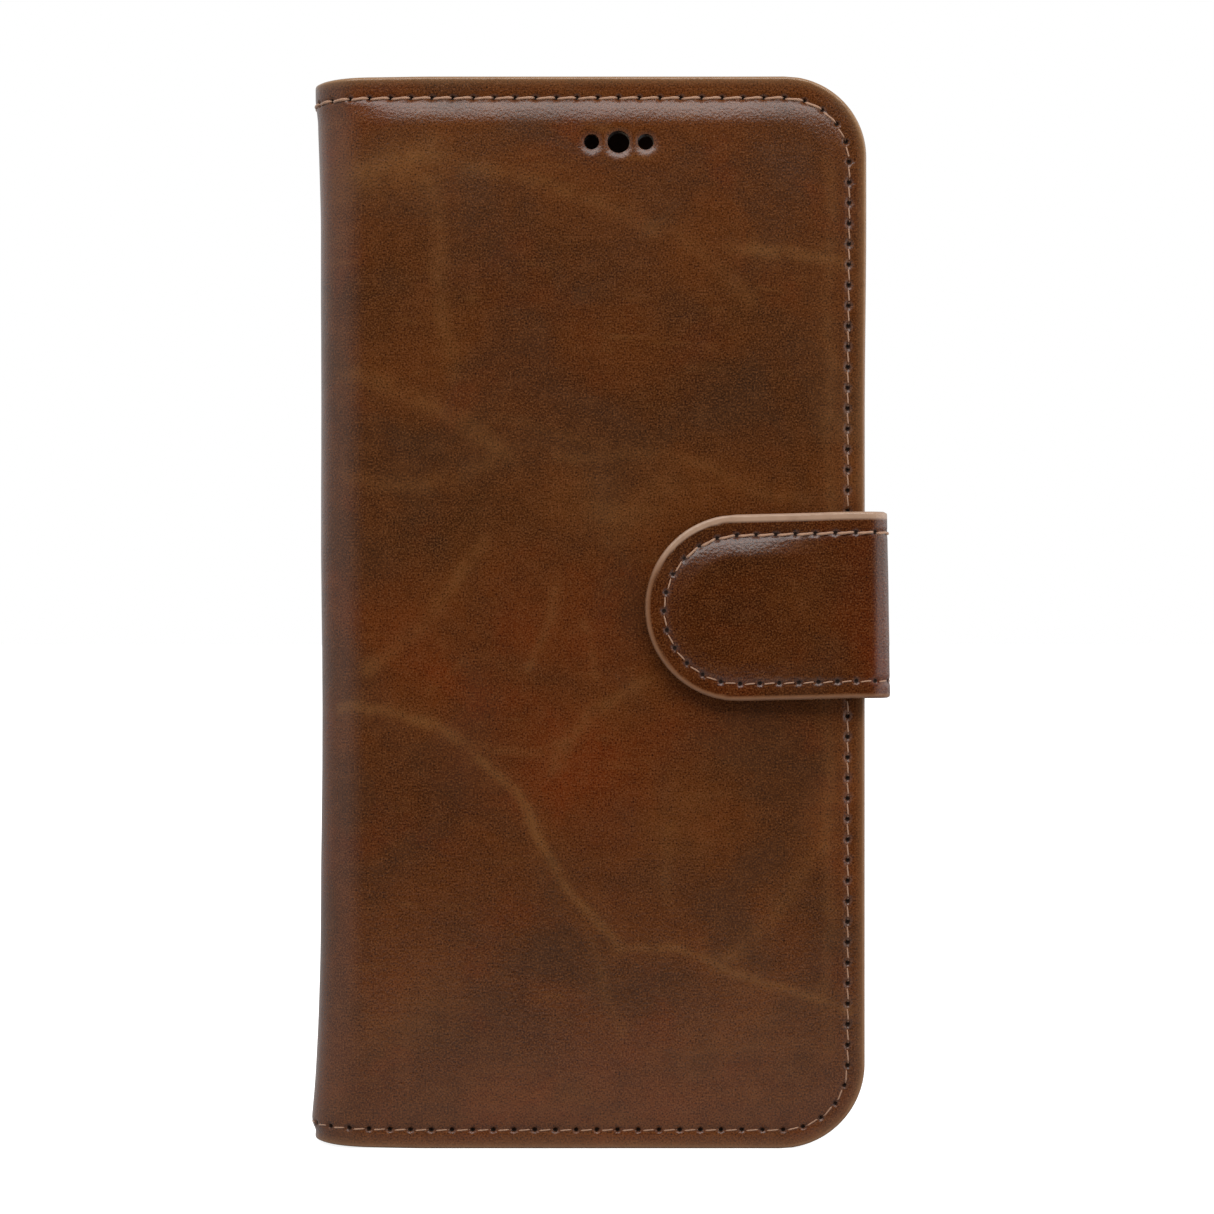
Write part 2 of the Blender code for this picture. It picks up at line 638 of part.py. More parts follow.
def main():
    clear_scene()
    parts = new_collection("phone_wallet_case")
    cutters = new_collection("cutters")
    spine_empty = hinge_empty("spine_fold", SPINE_FOLD, None, parts)
    side_empty = hinge_empty("strap_side_fold", SIDE_FOLD, None, parts)
    empties = {
        "spine": spine_empty,
        "front_cover": hinge_empty("cover_fold", COVER_FOLD, spine_empty, parts),
        "strap_side": side_empty,
        "strap_tab": hinge_empty("strap_tab_fold", TAB_FOLD, side_empty, parts),
    }
    groups = {
        "back_panel": [make_back_panel(parts, cutters), make_shell(parts, cutters),
                       make_strap_anchor(parts, cutters)],
        "spine": [make_spine(parts, cutters)],
        "front_cover": [make_front_cover(parts, cutters), make_pockets(parts)],
        "strap_side": [make_strap_side(parts, cutters)],
        "strap_tab": [make_strap_tab(parts, cutters)],
    }
    bodies = {body: [pair for made in group for pair in made.items()]
              for body, group in groups.items()}
    finish_pieces(bodies, empties)


main()
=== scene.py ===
import json
import math

import bmesh
import bpy
import numpy as np
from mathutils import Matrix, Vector


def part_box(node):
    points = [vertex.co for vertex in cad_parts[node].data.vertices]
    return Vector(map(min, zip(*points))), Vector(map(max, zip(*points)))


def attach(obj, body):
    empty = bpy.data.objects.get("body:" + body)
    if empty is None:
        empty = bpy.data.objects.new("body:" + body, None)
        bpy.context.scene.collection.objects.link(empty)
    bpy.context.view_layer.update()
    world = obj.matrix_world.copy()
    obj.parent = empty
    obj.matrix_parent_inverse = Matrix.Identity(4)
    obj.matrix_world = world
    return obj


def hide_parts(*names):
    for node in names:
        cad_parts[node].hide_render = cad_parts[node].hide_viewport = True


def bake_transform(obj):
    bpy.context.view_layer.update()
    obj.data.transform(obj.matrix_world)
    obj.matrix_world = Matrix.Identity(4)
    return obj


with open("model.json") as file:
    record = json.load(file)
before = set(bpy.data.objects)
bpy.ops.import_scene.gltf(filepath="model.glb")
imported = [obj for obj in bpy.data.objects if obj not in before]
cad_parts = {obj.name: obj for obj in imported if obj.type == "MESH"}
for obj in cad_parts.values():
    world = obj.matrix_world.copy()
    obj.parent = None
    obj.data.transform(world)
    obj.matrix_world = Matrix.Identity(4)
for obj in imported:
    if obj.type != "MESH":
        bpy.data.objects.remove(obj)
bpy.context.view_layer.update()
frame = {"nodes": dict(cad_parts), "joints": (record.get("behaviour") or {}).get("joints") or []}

# The CAD box, before anything is replaced.
MM = 0.001


def box(node):
    low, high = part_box(node)
    return np.array(low), np.array(high)


# ---- sizes taken from the frame

FRONT_LOW, FRONT_HIGH = box("front_leather")
SPINE_LOW, _ = box("spine_leather")
SIDE_LOW, SIDE_HIGH = box("strap_side_leather")
TAB_LOW, _ = box("strap_tab_leather")
ANCHOR_LOW, _ = box("strap_anchor_leather")
JOINTS = {j["name"]: np.array(j["pos_m"]) for j in frame["joints"]}

HEIGHT = FRONT_HIGH[2]
SPINE_X = SPINE_LOW[0]
EDGE_X = FRONT_HIGH[0]
FACE_Y = -FRONT_LOW[1]
STRAP_X = SIDE_HIGH[0]
STRAP_Y = -TAB_LOW[1]
STRAP_Z = (SIDE_LOW[2] + SIDE_HIGH[2]) / 2
STRAP_HALF = (SIDE_HIGH[2] - SIDE_LOW[2]) / 2

# A fold's axis lies on the outer surface at the middle of its rounded corner, so the
# corner's radius follows from how far the axis is from the flat faces.
CORNER_SHARE = 1 - math.sqrt(0.5)
SPINE_RADIUS = (JOINTS["cover_fold"][0] - SPINE_X) / CORNER_SHARE
STRAP_RADIUS = (STRAP_X - JOINTS["strap_tab_fold"][0]) / CORNER_SHARE

# ---- leatherwork, in metres

COVER_CORNERS = (12.3 * MM, 11.8 * MM)              # bottom, top
STITCH_INSETS = (2.7 * MM, 2.5 * MM, 3.2 * MM)     # bottom, opening edge, top
STRAP_INSETS = (2.45 * MM, 2.7 * MM, 3.05 * MM)
STITCH_PITCH = 3.0 * MM
STRAP_PITCH = 2.85 * MM
THREAD_RADIUS = 0.17 * MM
HOLE_RISE = 0.06 * MM
HOLE_RADIUS = 0.58 * MM
EAR_HOLES = ((-3.9 * MM, 1.10 * MM), (0.0, 1.62 * MM), (3.9 * MM, 1.16 * MM))
HOLE_DIP = 0.32 * MM               # how far the leather rolls down into a hole,
HOLE_DIP_REACH = 1.3 * MM          # and over what width
EAR_X = 2.2 * MM
EAR_Z = HEIGHT - 9.6 * MM
CAMERA = (19.5 * MM, 135.0 * MM, 11.5 * MM, 5.5 * MM)   # x, z, half size, corner
TAB_TILT = math.radians(1.3)
LEATHER = 1.25 * MM
SEAM = 0.04 * MM
LINING_EDGE = 0.3 * MM             # radius of a lining's rounded edge
COVER_LINING = (3.6 * MM, 2.95 * MM)    # depth of a cover's inner face, and by its edge
STRAP_SKIN = 1.3 * MM              # depth of the strap's leather,
STRAP_BACKING = 1.36 * MM          # of its backing's hidden face,
TAB_BACK = 2.25 * MM               # and of its back on the tab
ANCHOR_BACK = 2.55 * MM            # and on the anchor
HIDE_SCALE = 100                   # places on the hide are in centimetres
STRAP_ON_HIDE = 40                 # the strap is cut this far from the covers
HOLE_WALL_INSIDE = 2 * MM          # walls further in than this belong to holes
TINY = 1e-7


def smooth(t):
    t = np.clip(t, 0, 1)
    return t * t * (3 - 2 * t)


def bump(t):
    """1 at t = 0, falling smoothly to 0 at |t| = 1."""
    return (1 - np.clip(np.abs(t), 0, 1) ** 2) ** 2


def rolled(inside, radius):
    """How far a rounded edge lies back, at a distance inside its outline."""
    rim = np.clip(radius - inside, 0, radius)
    return radius - np.sqrt(np.maximum(radius ** 2 - rim ** 2, 0))


def rounded_distance(s, z, right, low, high, radius):
    """Distance inside a strip that is open to the left and rounded at its right end."""
    ds, dz = right - s, np.minimum(z - low, high - z)
    corner = radius - np.hypot(np.maximum(radius - ds, 0), np.maximum(radius - dz, 0))
    return np.where((ds < radius) & (dz < radius), corner, np.minimum(ds, dz))


class Wrap:
    """A sheet of leather that runs from the middle of a link, round one corner, along a face.

    s is the length along its section from the link's middle and z the height. side is
    -1 for the spine and +1 for the strap; sign is -1 for the front and +1 for the back.
    """

    def __init__(self, side, sign, outer_x, face_y, radius, far_x, low, high, corner, insets,
                 stitch_corner, pitch):
        self.side, self.sign, self.radius = side, sign, radius
        self.right_handed = side * sign > 0     # s, z and the outward normal
        self.outer_x, self.face_y = outer_x, face_y
        self.centre = (outer_x - side * radius, face_y - radius)
        self.turn = self.centre[1]
        self.turned = self.turn + radius * math.pi / 2
        self.length = self.turned + abs(far_x - self.centre[0])
        self.low, self.high, self.corners = low, high, corner
        self.insets, self.stitch_corner, self.pitch = insets, stitch_corner, pitch
        self.edge, self.bands, self.fade = 0.45 * MM, (0.35 * MM,) * 3, 0.34
        self.flanges = (0.42 * MM, 0.22 * MM, 0.82 * MM)
        self.crown, self.steepness = 4.0 * MM, 2.2
        self.board_drop, self.long_drop, self.groove = 0.10 * MM, 0.08 * MM, 0.07 * MM
        self.onset = (6 * MM, 12 * MM)
        self.holes = []
        self.pit_depth = 0.50 * MM
        self.tilt = self.shift = 0.0

    def section(self, s):
        """Point and outward normal of the outer face in the XY plane."""
        angle = np.clip((s - self.turn) / self.radius, 0, math.pi / 2)
        nx, ny = self.side * np.cos(angle), self.sign * np.sin(angle)
        past = np.maximum(s - self.turned, 0)
        before = np.minimum(s, self.turn) - self.turn
        x = self.centre[0] + self.radius * nx - self.side * past
        y = self.sign * (self.centre[1] + before) + self.radius * ny
        return x, y, nx, ny

    def corner(self, z):
        """Corner radius of the outline at the end that z is nearer to."""
        return np.where(z < (self.low + self.high) / 2, *self.corners)

    def outline(self, s, z):
        return rounded_distance(s, z, self.length, self.low, self.high, self.corner(z))

    def from_stitch(self, s, z):
        """Distance inside the stitch line; negative between it and the edge."""
        bottom, right, top = self.insets
        return rounded_distance(s, z, self.length - right, self.low + bottom, self.high - top,
                                self.stitch_corner)

    def stitch_holes(self):
        """Needle holes (s, z) from the link's middle along the top, round the end and back."""
        bottom, right, top = self.insets
        r = self.stitch_corner
        end, low, high = self.length - right, self.low + bottom, self.high - top
        runs = [(0, high, end - r, high)]
        points = [self.straight(*runs[0])]
        points.append(self.round_run(end - r, high - r, r, 90, 0))
        points.append(self.straight(end, high - r, end, low + r))
        points.append(self.round_run(end - r, low + r, r, 0, -90))
        points.append(self.straight(end - r, low, 0, low))
        return np.array([p for run in points for p in run] + [(0.0, low)])

    def straight(self, s0, z0, s1, z1):
        length = math.hypot(s1 - s0, z1 - z0)
        count = max(1, round(length / self.pitch)) if length > self.pitch / 2 else 0
        return [(s0 + (s1 - s0) * i / count, z0 + (z1 - z0) * i / count) for i in range(count)]

    def round_run(self, s, z, r, start, end):
        count = max(1, round(r * math.pi / 2 / self.pitch))
        turns = [math.radians(start + (end - start) * i / count) for i in range(count)]
        return [(s + r * math.cos(t), z + r * math.sin(t)) for t in turns]

    def by_side(self, values, s, z):
        """A value that differs along the bottom, the end and the top, blended between them."""
        bottom, right, top = self.insets
        away = (z - self.low - bottom, self.length - right - s, self.high - top - z)
        near = [np.exp(-np.clip(d, 0, None) / (4 * MM)) for d in away]
        return sum(n * v for n, v in zip(near, values)) / sum(near)

    def padding(self, s, z):
        """How far the outer face lies below the crown here.

        It drops steeply just inside the stitches, which pull the leather down, and more
        gently further in. Round the link there is no padding.
        """
        inside = self.from_stitch(s, z)
        rise = (1 - np.clip(inside / self.crown, 0, 1)) ** self.steepness
        drop = self.by_side(self.flanges, s, z) * rise
        drop = drop + self.board_drop * (1 - smooth((inside - 1.6 * MM) / (2.6 * MM)))
        drop = drop + self.long_drop * (1 - smooth(inside / (13 * MM)))
        return drop * smooth((s - self.turned + self.onset[0]) / self.onset[1])

    def waves(self, s, z):
        """Slight unevenness of the leather over its board."""
        a, b = s / MM, z / MM
        slow = np.sin(a * 0.19 + 1.3 * np.sin(b * 0.07))
        slow = slow * np.sin(b * 0.13 + 0.9 * np.sin(a * 0.11))
        quick = np.sin(a * 0.61 + b * 0.23) * np.sin(b * 0.47 - a * 0.17 + 1.0)
        return (0.030 * slow + 0.008 * quick) * MM

    def depth(self, s, z):
        """Depth of the finished outer face below the nominal one."""
        out = self.padding(s, z) + rolled(self.outline(s, z), self.edge)
        line = self.from_stitch(s, z)
        out = out + self.groove * bump(line / (0.75 * MM))
        out = out + self.waves(s, z) * smooth(line / (5 * MM))
        dip = np.zeros_like(out)
        for x, height, shape, _ in self.holes:
            away = np.clip(shape(s - self.s_at(x), z - height) / HOLE_DIP_REACH, 0, 1)
            dip = np.maximum(dip, HOLE_DIP * (1 - away) ** 2.1)
        return out + dip

    def pitted(self, s, z):
        return self.depth(s, z) + self.pit_depth * pit_field(self, s, z)

    def s_at(self, x):
        """s of a place on the face, from its X."""
        return self.turned + self.side * (self.centre[0] - x)

    def flare(self, s, z):
        """How far a fold stands out: the spine is waisted, the strap slants a little."""
        round_part = np.cos(np.clip((s - self.turn) / self.radius, 0, math.pi / 2)) ** 2
        up = (z - self.low) / (self.high - self.low)
        if self.side > 0:
            return (0.13 - 0.46 * up) * MM * round_part
        top = 0.50 * smooth((z - self.high + 24 * MM) / (24 * MM))
        lip = 0.30 * smooth((z - self.high + 6 * MM) / (4 * MM))
        bottom = 1.6 * np.clip((self.low + 36 * MM - z) / (36 * MM), 0, 1) ** 2
        waist = 0.15 + 0.20 * bump((z - 62 * MM) / (26 * MM))
        foot = 0.75 * smooth((self.low + 2.9 * MM - z) / (1.9 * MM))
        return (top + lip + bottom - waist - foot) * MM * round_part

    def sag(self, s, z):
        """The covers' ends draw in a little round the spine."""
        if self.side > 0:
            return 0.0
        share = 0.55 * MM * (1 - smooth((s - 2 * MM) / (22 * MM)))
        reach = 12 * MM
        low, high = (self.low + reach - z) / reach, (z - self.high + reach) / reach
        return share * (smooth(low) - smooth(high))

    def place(self, s, z, depth):
        """World points at s, z, at a depth below the nominal outer face."""
        if self.side < 0:
            s = s + 0.22 * MM * smooth((z - 105 * MM) / (30 * MM)) * s / self.length
        x, y, nx, ny = self.section(s)
        out = self.flare(s, z) - depth
        x, y = x + nx * out, y + ny * out
        z = z + self.sag(s, z) + self.shift
        if self.tilt:
            dx, dz = np.minimum(x - self.centre[0], 0), z - STRAP_Z
            turn = self.tilt * smooth(-dx / (8 * MM))
            z = z + dx * np.sin(turn)
            x = x - dz * np.sin(turn)
        return np.stack([x, y, z + 0 * x], -1)

    def normal(self, s):
        _, _, nx, ny = self.section(s)
        return np.stack([nx, ny, 0 * nx], -1)


# ---- meshes

def edge_steps(inset, reach, step):
    """Offsets from an edge: close over its rounding and its stitches, then even."""
    rim = 0.5 * MM * (1 - np.cos(np.radians(np.arange(0, 91, 22.5))))
    before = np.arange(0.85 * MM, inset - 0.6 * MM, 0.4 * MM)
    across = inset + np.arange(-0.45, 0.5, 0.15) * MM
    after = np.arange(inset + 0.75 * MM, reach, step)
    return np.concatenate([rim, before, across, after])


def stitch_steps(places):
    """Grid lines through each needle hole, beside it and halfway to the next."""
    places = np.sort(np.asarray(places))
    middles = (places[1:] + places[:-1]) / 2
    return np.concatenate([places - 0.2 * MM, places, places + 0.2 * MM, middles])


def merge_lines(groups, low, high, closest, widest):
    lines = np.sort(np.concatenate(groups))
    lines = lines[(lines >= low) & (lines <= high)]
    kept = [low]
    for value in lines:
        if value - kept[-1] >= closest:
            kept.append(value)
    if high - kept[-1] < closest:
        kept[-1] = high
    else:
        kept.append(high)
    filled = [np.linspace(a, b, math.ceil((b - a) / widest), endpoint=False)
              for a, b in zip(kept, kept[1:])]
    return np.append(np.concatenate(filled), high)


def corner_rows(radius, count=10):
    return radius * (1 - np.cos(np.linspace(0, math.pi / 2, count)))


def build_grid(wrap, fine):
    """Grid positions (s, z) of a sheet, its right end shaped to the rounded outline."""
    holes = wrap.stitch_holes()
    bottom, right, top = wrap.insets
    step = (0.32 if fine else 1.1) * MM
    reach = min(wrap.corners) * 0.95
    rows = [wrap.low + edge_steps(bottom, reach, step), wrap.high - edge_steps(top, reach, step),
            wrap.low + corner_rows(wrap.corners[0]), wrap.high - corner_rows(wrap.corners[1])]
    columns = [wrap.length - edge_steps(right, reach, step),
               np.arange(0, wrap.turned + 3 * MM, (0.5 if fine else 0.9) * MM)]
    if fine:
        end = wrap.length - right
        rows.append(stitch_steps(holes[np.abs(holes[:, 0] - end) < 1e-6, 1]))
        high = wrap.high - top
        columns.append(stitch_steps(holes[np.abs(holes[:, 1] - high) < 1e-6, 0]))
    else:
        rows.append(np.arange(wrap.low, wrap.high, 3 * MM))
        columns.append(np.arange(0, wrap.length, 3 * MM))
    for x, height, _, reach in wrap.holes:
        middle = wrap.s_at(x)
        columns.append(np.arange(middle - reach, middle + reach, 0.2 * MM))
        rows.append(np.arange(height - reach, height + reach, 0.2 * MM))
    closest = (0.07 if fine else 0.12) * MM
    widest = (0.5 if fine else 1.6) * MM
    z = merge_lines(rows, wrap.low, wrap.high, closest, widest)
    c = merge_lines(columns, 0.0, wrap.length, closest, widest)
    dz = np.minimum(z - wrap.low, wrap.high - z)
    radius = wrap.corner(z)
    notch = np.maximum(radius - dz, 0)
    limit = wrap.length - radius + np.sqrt(np.maximum(radius ** 2 - notch ** 2, 0))
    start = max(wrap.length - 1.7 * max(wrap.corners), wrap.turned * 0.6)
    share = np.maximum(c - start, 0) / (wrap.length - start)
    s = np.minimum(c, start)[None, :] + share[None, :] * (limit - start)[:, None]
    return s, np.repeat(z[:, None], len(c), 1)


def grid_faces(rows, columns):
    i, j = np.meshgrid(np.arange(rows - 1), np.arange(columns - 1), indexing="ij")
    a = (i * columns + j).ravel()
    return np.stack([a, a + 1, a + columns + 1, a + columns], 1)


def cut_holes(wrap, s, z, faces):
    """Drop the quads inside each hole and pull the ones round it to its outline."""
    for x, height, shape, _ in wrap.holes:
        middle = wrap.s_at(x)
        mid_s, mid_z = s[faces].mean(1) - middle, z[faces].mean(1) - height
        faces = faces[shape(mid_s, mid_z) > 0]
        rim = np.zeros(len(s), bool)
        rim[boundary(faces).ravel()] = True
        away = shape(s - middle, z - height)
        rim &= np.abs(away) < 0.6 * MM
        for _ in range(4):
            away = shape(s - middle, z - height)
            step = 0.01 * MM
            gs = (shape(s - middle + step, z - height) - away) / step
            gz = (shape(s - middle, z - height + step) - away) / step
            s, z = s - np.where(rim, away * gs, 0), z - np.where(rim, away * gz, 0)
    return s, z, faces


def boundary(faces):
    """Directed edges that only one face has."""
    edges = np.stack([faces, np.roll(faces, -1, 1)], -1).reshape(-1, 2)
    key = edges.min(1) * (faces.max() + 1) + edges.max(1)
    _, index, count = np.unique(key, return_index=True, return_counts=True)
    return edges[index[count == 1]]


def make_mesh(name, points, faces, materials, slots=None, smooth_angle=45):
    mesh = bpy.data.meshes.new(name)
    faces = [np.asarray(f) for f in faces]
    loops = np.concatenate([f.ravel() for f in faces])
    sizes = np.concatenate([np.full(len(f), f.shape[1]) for f in faces])
    mesh.vertices.add(len(points))
    mesh.vertices.foreach_set("co", np.asarray(points, np.float32).ravel())
    mesh.loops.add(len(loops))
    mesh.loops.foreach_set("vertex_index", loops.astype(np.int32))
    mesh.polygons.add(len(sizes))
    mesh.polygons.foreach_set("loop_start", np.concatenate([[0], np.cumsum(sizes)[:-1]]))
    mesh.polygons.foreach_set("loop_total", sizes)
    if slots is not None:
        mesh.polygons.foreach_set("material_index", np.asarray(slots, np.int32))
    mesh.update(calc_edges=True)
    mesh.validate()
    for material in materials:
        mesh.materials.append(material)
    obj = bpy.data.objects.new(name, mesh)
    bpy.context.scene.collection.objects.link(obj)
    mesh.shade_smooth()
    mesh.set_sharp_from_angle(angle=math.radians(smooth_angle))
    return obj


def attribute(obj, name, values):
    kind = "FLOAT_VECTOR" if np.ndim(values) == 2 else "FLOAT"
    layer = obj.data.attributes.new(name, kind, "POINT")
    field = "vector" if kind == "FLOAT_VECTOR" else "value"
    layer.data.foreach_set(field, np.asarray(values, np.float32).ravel())


def closed_sheet(name, wrap, fine, outer_depth, inner_depth, bulge, materials):
    """A sheet with an outer and an inner face, joined round its outline and its holes.

    Slot 0 is for both faces, 1 for the wall round the outline and 2 for the holes' walls.
    """
    s, z = build_grid(wrap, fine)
    faces = grid_faces(*s.shape)
    s, z = s.ravel(), z.ravel()
    s, z, faces = cut_holes(wrap, s, z, faces)
    used = np.unique(faces)
    renumber = np.full(len(s), -1)
    renumber[used] = np.arange(len(used))
    s, z, faces = s[used], z[used], renumber[faces]
    count = len(s)
    outer = wrap.place(s, z, outer_depth(s, z))
    inner = wrap.place(s, z, inner_depth(s, z))
    edges = boundary(faces)
    rim = np.unique(edges)
    push = np.zeros((count, 3))
    facing = wrap.normal(s)
    along = outer[edges[:, 1]] - outer[edges[:, 0]]
    turn = 1 if wrap.right_handed else -1
    out = turn * np.cross(facing[edges[:, 0]], along)
    out[(s[edges] < TINY).all(1)] = 0
    for side in (0, 1):
        np.add.at(push, edges[:, side], out)
    size = np.linalg.norm(push, axis=1, keepdims=True)
    push = np.where(size > 1e-12, push / np.maximum(size, 1e-12), 0)
    middle = (outer[rim] + inner[rim]) / 2 + push[rim] * bulge
    joint = s[rim] < TINY
    middle[joint] = ((outer[rim] + inner[rim]) / 2)[joint]
    ring = np.full(count, -1)
    ring[rim] = 2 * count + np.arange(len(rim))
    a, b = edges[:, 0], edges[:, 1]
    walls = np.concatenate([np.stack([b, a, ring[a], ring[b]], 1),
                            np.stack([ring[b], ring[a], a + count, b + count], 1)])
    every = np.concatenate([faces, faces[:, ::-1] + count, walls])
    if not wrap.right_handed:
        every = every[:, ::-1]
    wall_slots = np.where(wrap.outline(s[a], z[a]) > HOLE_WALL_INSIDE, 2, 1)
    slots = np.concatenate([np.zeros(2 * len(faces), int), wall_slots, wall_slots])
    points = np.concatenate([outer, inner, middle])
    obj = make_mesh(name, points, [every], materials, slots)
    both_s, both_z = np.concatenate([s, s, s[rim]]), np.concatenate([z, z, z[rim]])
    return obj, both_s, both_z


# ---- materials

class Shader:
    """Builds a node material on the Principled shader."""

    def __init__(self, name):
        self.material = bpy.data.materials.new(name)
        self.material.use_nodes = True
        self.tree = self.material.node_tree
        self.out = self.tree.nodes["Principled BSDF"]

    def add(self, kind, inputs=(), **settings):
        node = self.tree.nodes.new("ShaderNode" + kind)
        for key, value in settings.items():
            setattr(node, key, value)
        for key, value in dict(inputs).items():
            self.put(node.inputs[key], value)
        return node

    def put(self, socket, value):
        if isinstance(value, bpy.types.NodeSocket):
            self.tree.links.new(value, socket)
        elif isinstance(value, tuple) and len(value) == 3 and socket.type == "RGBA":
            socket.default_value = (*value, 1.0)
        else:
            socket.default_value = value

    def set(self, **values):
        for key, value in values.items():
            self.put(self.out.inputs[key.replace("_", " ")], value)

    def read(self, name, output="Fac"):
        return self.add("Attribute", attribute_name=name).outputs[output]

    def noise(self, vector, scale, detail=3.0, roughness=0.55, distortion=0.0):
        inputs = {"Vector": vector, "Scale": scale, "Detail": detail, "Roughness": roughness,
                  "Distortion": distortion}
        return self.add("TexNoise", inputs).outputs["Fac"]

    def range(self, value, low, high, to_low=0.0, to_high=1.0):
        inputs = {"Value": value, "From Min": low, "From Max": high, "To Min": to_low,
                  "To Max": to_high}
        return self.add("MapRange", inputs, interpolation_type="SMOOTHSTEP").outputs[0]

    def math(self, operation, a, b=0.0):
        return self.add("Math", {0: a, 1: b}, operation=operation).outputs[0]

    def mix(self, factor, a, b, blend="MIX"):
        node = self.add("Mix", data_type="RGBA", blend_type=blend)
        self.put(node.inputs[0], factor)
        self.put(node.inputs[6], a)
        self.put(node.inputs[7], b)
        return node.outputs[2]

    def shifted(self, vector, offset, scale=(1.0, 1.0, 1.0)):
        inputs = {"Vector": vector, "Location": offset, "Scale": scale}
        return self.add("Mapping", inputs).outputs[0]

    def bump(self, height, strength, distance, below=None):
        inputs = {"Height": height, "Strength": strength, "Distance": distance}
        node = self.add("Bump", inputs)
        if below is not None:
            self.put(node.inputs["Normal"], below)
        return node.outputs[0]


def srgb(r, g, b):
    """A colour given as 0-255 display values, as the shader wants it."""
    return tuple(((c / 255 + 0.055) / 1.055) ** 2.4 if c > 10 else c / 255 / 12.92
                 for c in (r, g, b))


def pull_up_leather(name, base, dark, red, light, edges, roughness, solid=False):
    """Waxed leather: cloudy browns, paler where it has been creased, tan at a cut edge.

    It reads attributes of the sheet: hide_co, its place on the hide in centimetres; cloud,
    its broad red, dark and pale shares; pull, how much a crease has paled it; edge, cut and
    burnished rims; then how far a rim is painted paler towards the top, as painted light
    from above, and the needle holes, painted near black as painted shade. A solid leaf
    without them uses its own coordinates, and its rims are the faces that don't look
    forwards or back.
    """
    m = Shader(name)
    if solid:
        place = m.add("TexCoord")
        hide = m.shifted(place.outputs["Object"], (0.0, 0.0, 0.0), (100.0, 100.0, 100.0))
        facing = m.add("SeparateXYZ", {0: place.outputs["Normal"]}).outputs["Y"]
        rim = m.range(m.math("ABSOLUTE", facing), 0.9, 0.4)
    else:
        hide = m.read("hide_co", "Vector")
        rim = m.read("edge")
    broad = m.add("SeparateXYZ", {0: m.read("cloud", "Vector")})
    smoky = m.noise(hide, 0.60, 3.0, 0.52, 0.7)
    patch = m.noise(m.shifted(hide, (7.3, 2.1, 0.0)), 0.85, 3.0, 0.55, 0.5)
    streak = m.noise(m.shifted(hide, (1.7, 0.0, 0.0), (0.7, 3.4, 1.0)), 1.3, 4.0, 0.6, 0.4)
    mottle = m.noise(hide, 4.2, 4.0, 0.62)
    fleck = m.noise(hide, 22.0, 3.0, 0.65)
    fine = m.noise(hide, 40.0, 2.0, 0.62)
    colour = m.mix(m.range(smoky, 0.34, 0.66, 0.0, 0.55), base, dark)
    red_patch = m.range(patch, 0.30, 0.62, 0.6, 1.0)
    red_share = m.math("ADD", m.math("MULTIPLY", broad.outputs["X"], red_patch),
                       m.range(patch, 0.52, 0.74, 0.0, 0.35))
    colour = m.mix(m.math("MINIMUM", red_share, 1.0), colour, red)
    dark_share = m.math("MULTIPLY", broad.outputs["Y"], m.range(streak, 0.25, 0.65, 0.55, 1.0))
    colour = m.mix(dark_share, colour, dark)
    pale = m.math("MULTIPLY", broad.outputs["Z"], m.range(streak, 0.30, 0.66, 0.45, 1.0))
    breaks = m.range(m.noise(hide, 3.2, 4.0, 0.70), 0.34, 0.58, 0.45, 1.0)
    pull = m.math("MULTIPLY", m.read("pull"), breaks)
    drift = m.math("MULTIPLY", m.range(streak, 0.54, 0.78, 0.0, 0.30), m.range(smoky, 0.60, 0.40))
    paled = m.math("MAXIMUM", m.math("ADD", pull, pale), drift)
    colour = m.mix(m.math("MINIMUM", paled, 1.0), colour, light)
    dust, shade = srgb(118, 73, 40), dimmed(dark, 0.25)
    colour = m.mix(m.range(mottle, 0.48, 0.70, 0.0, 0.14), colour, dust)
    colour = m.mix(m.range(mottle, 0.52, 0.30, 0.0, 0.20), colour, shade)
    colour = m.mix(m.range(fleck, 0.50, 0.70, 0.0, 0.22), colour, dust)
    colour = m.mix(m.range(fine, 0.49, 0.72, 0.0, 0.66), colour, dust)
    colour = m.mix(m.range(fine, 0.51, 0.28, 0.0, 0.90), colour, shade)
    # Rims are painted paler towards the top: painted light from above, over the cut edge's own
    # colour.
    edge = m.mix(m.read("wear_and_top_light"), *edges)
    worn_rim = m.math("MULTIPLY", rim, m.range(m.noise(hide, 5.0, 3.0), 0.2, 0.6, 0.8, 1.0))
    colour = m.mix(worn_rim, colour, edge)
    # Needle holes painted near black: painted shade of the holes, over their real dip.
    pit = m.range(m.read("pit"), 0.30, 0.62)
    colour = m.mix(pit, colour, (0.012, 0.004, 0.001))
    rough = m.range(m.math("ADD", smoky, m.math("MULTIPLY", paled, 0.25)), 0.35, 0.85, *roughness)
    rough = m.math("MAXIMUM", rough, pit)
    pores = m.add("TexVoronoi", {"Vector": hide, "Scale": 26.0, "Randomness": 1.0},
                  feature="F1").outputs["Distance"]
    relief = m.bump(pores, 0.30, 0.00006)
    relief = m.bump(fleck, 0.42, 0.00009, relief)
    relief = m.bump(mottle, 0.22, 0.00022, relief)
    m.set(Base_Color=colour, Roughness=rough, Normal=relief, Specular_IOR_Level=0.34)
    return m.material


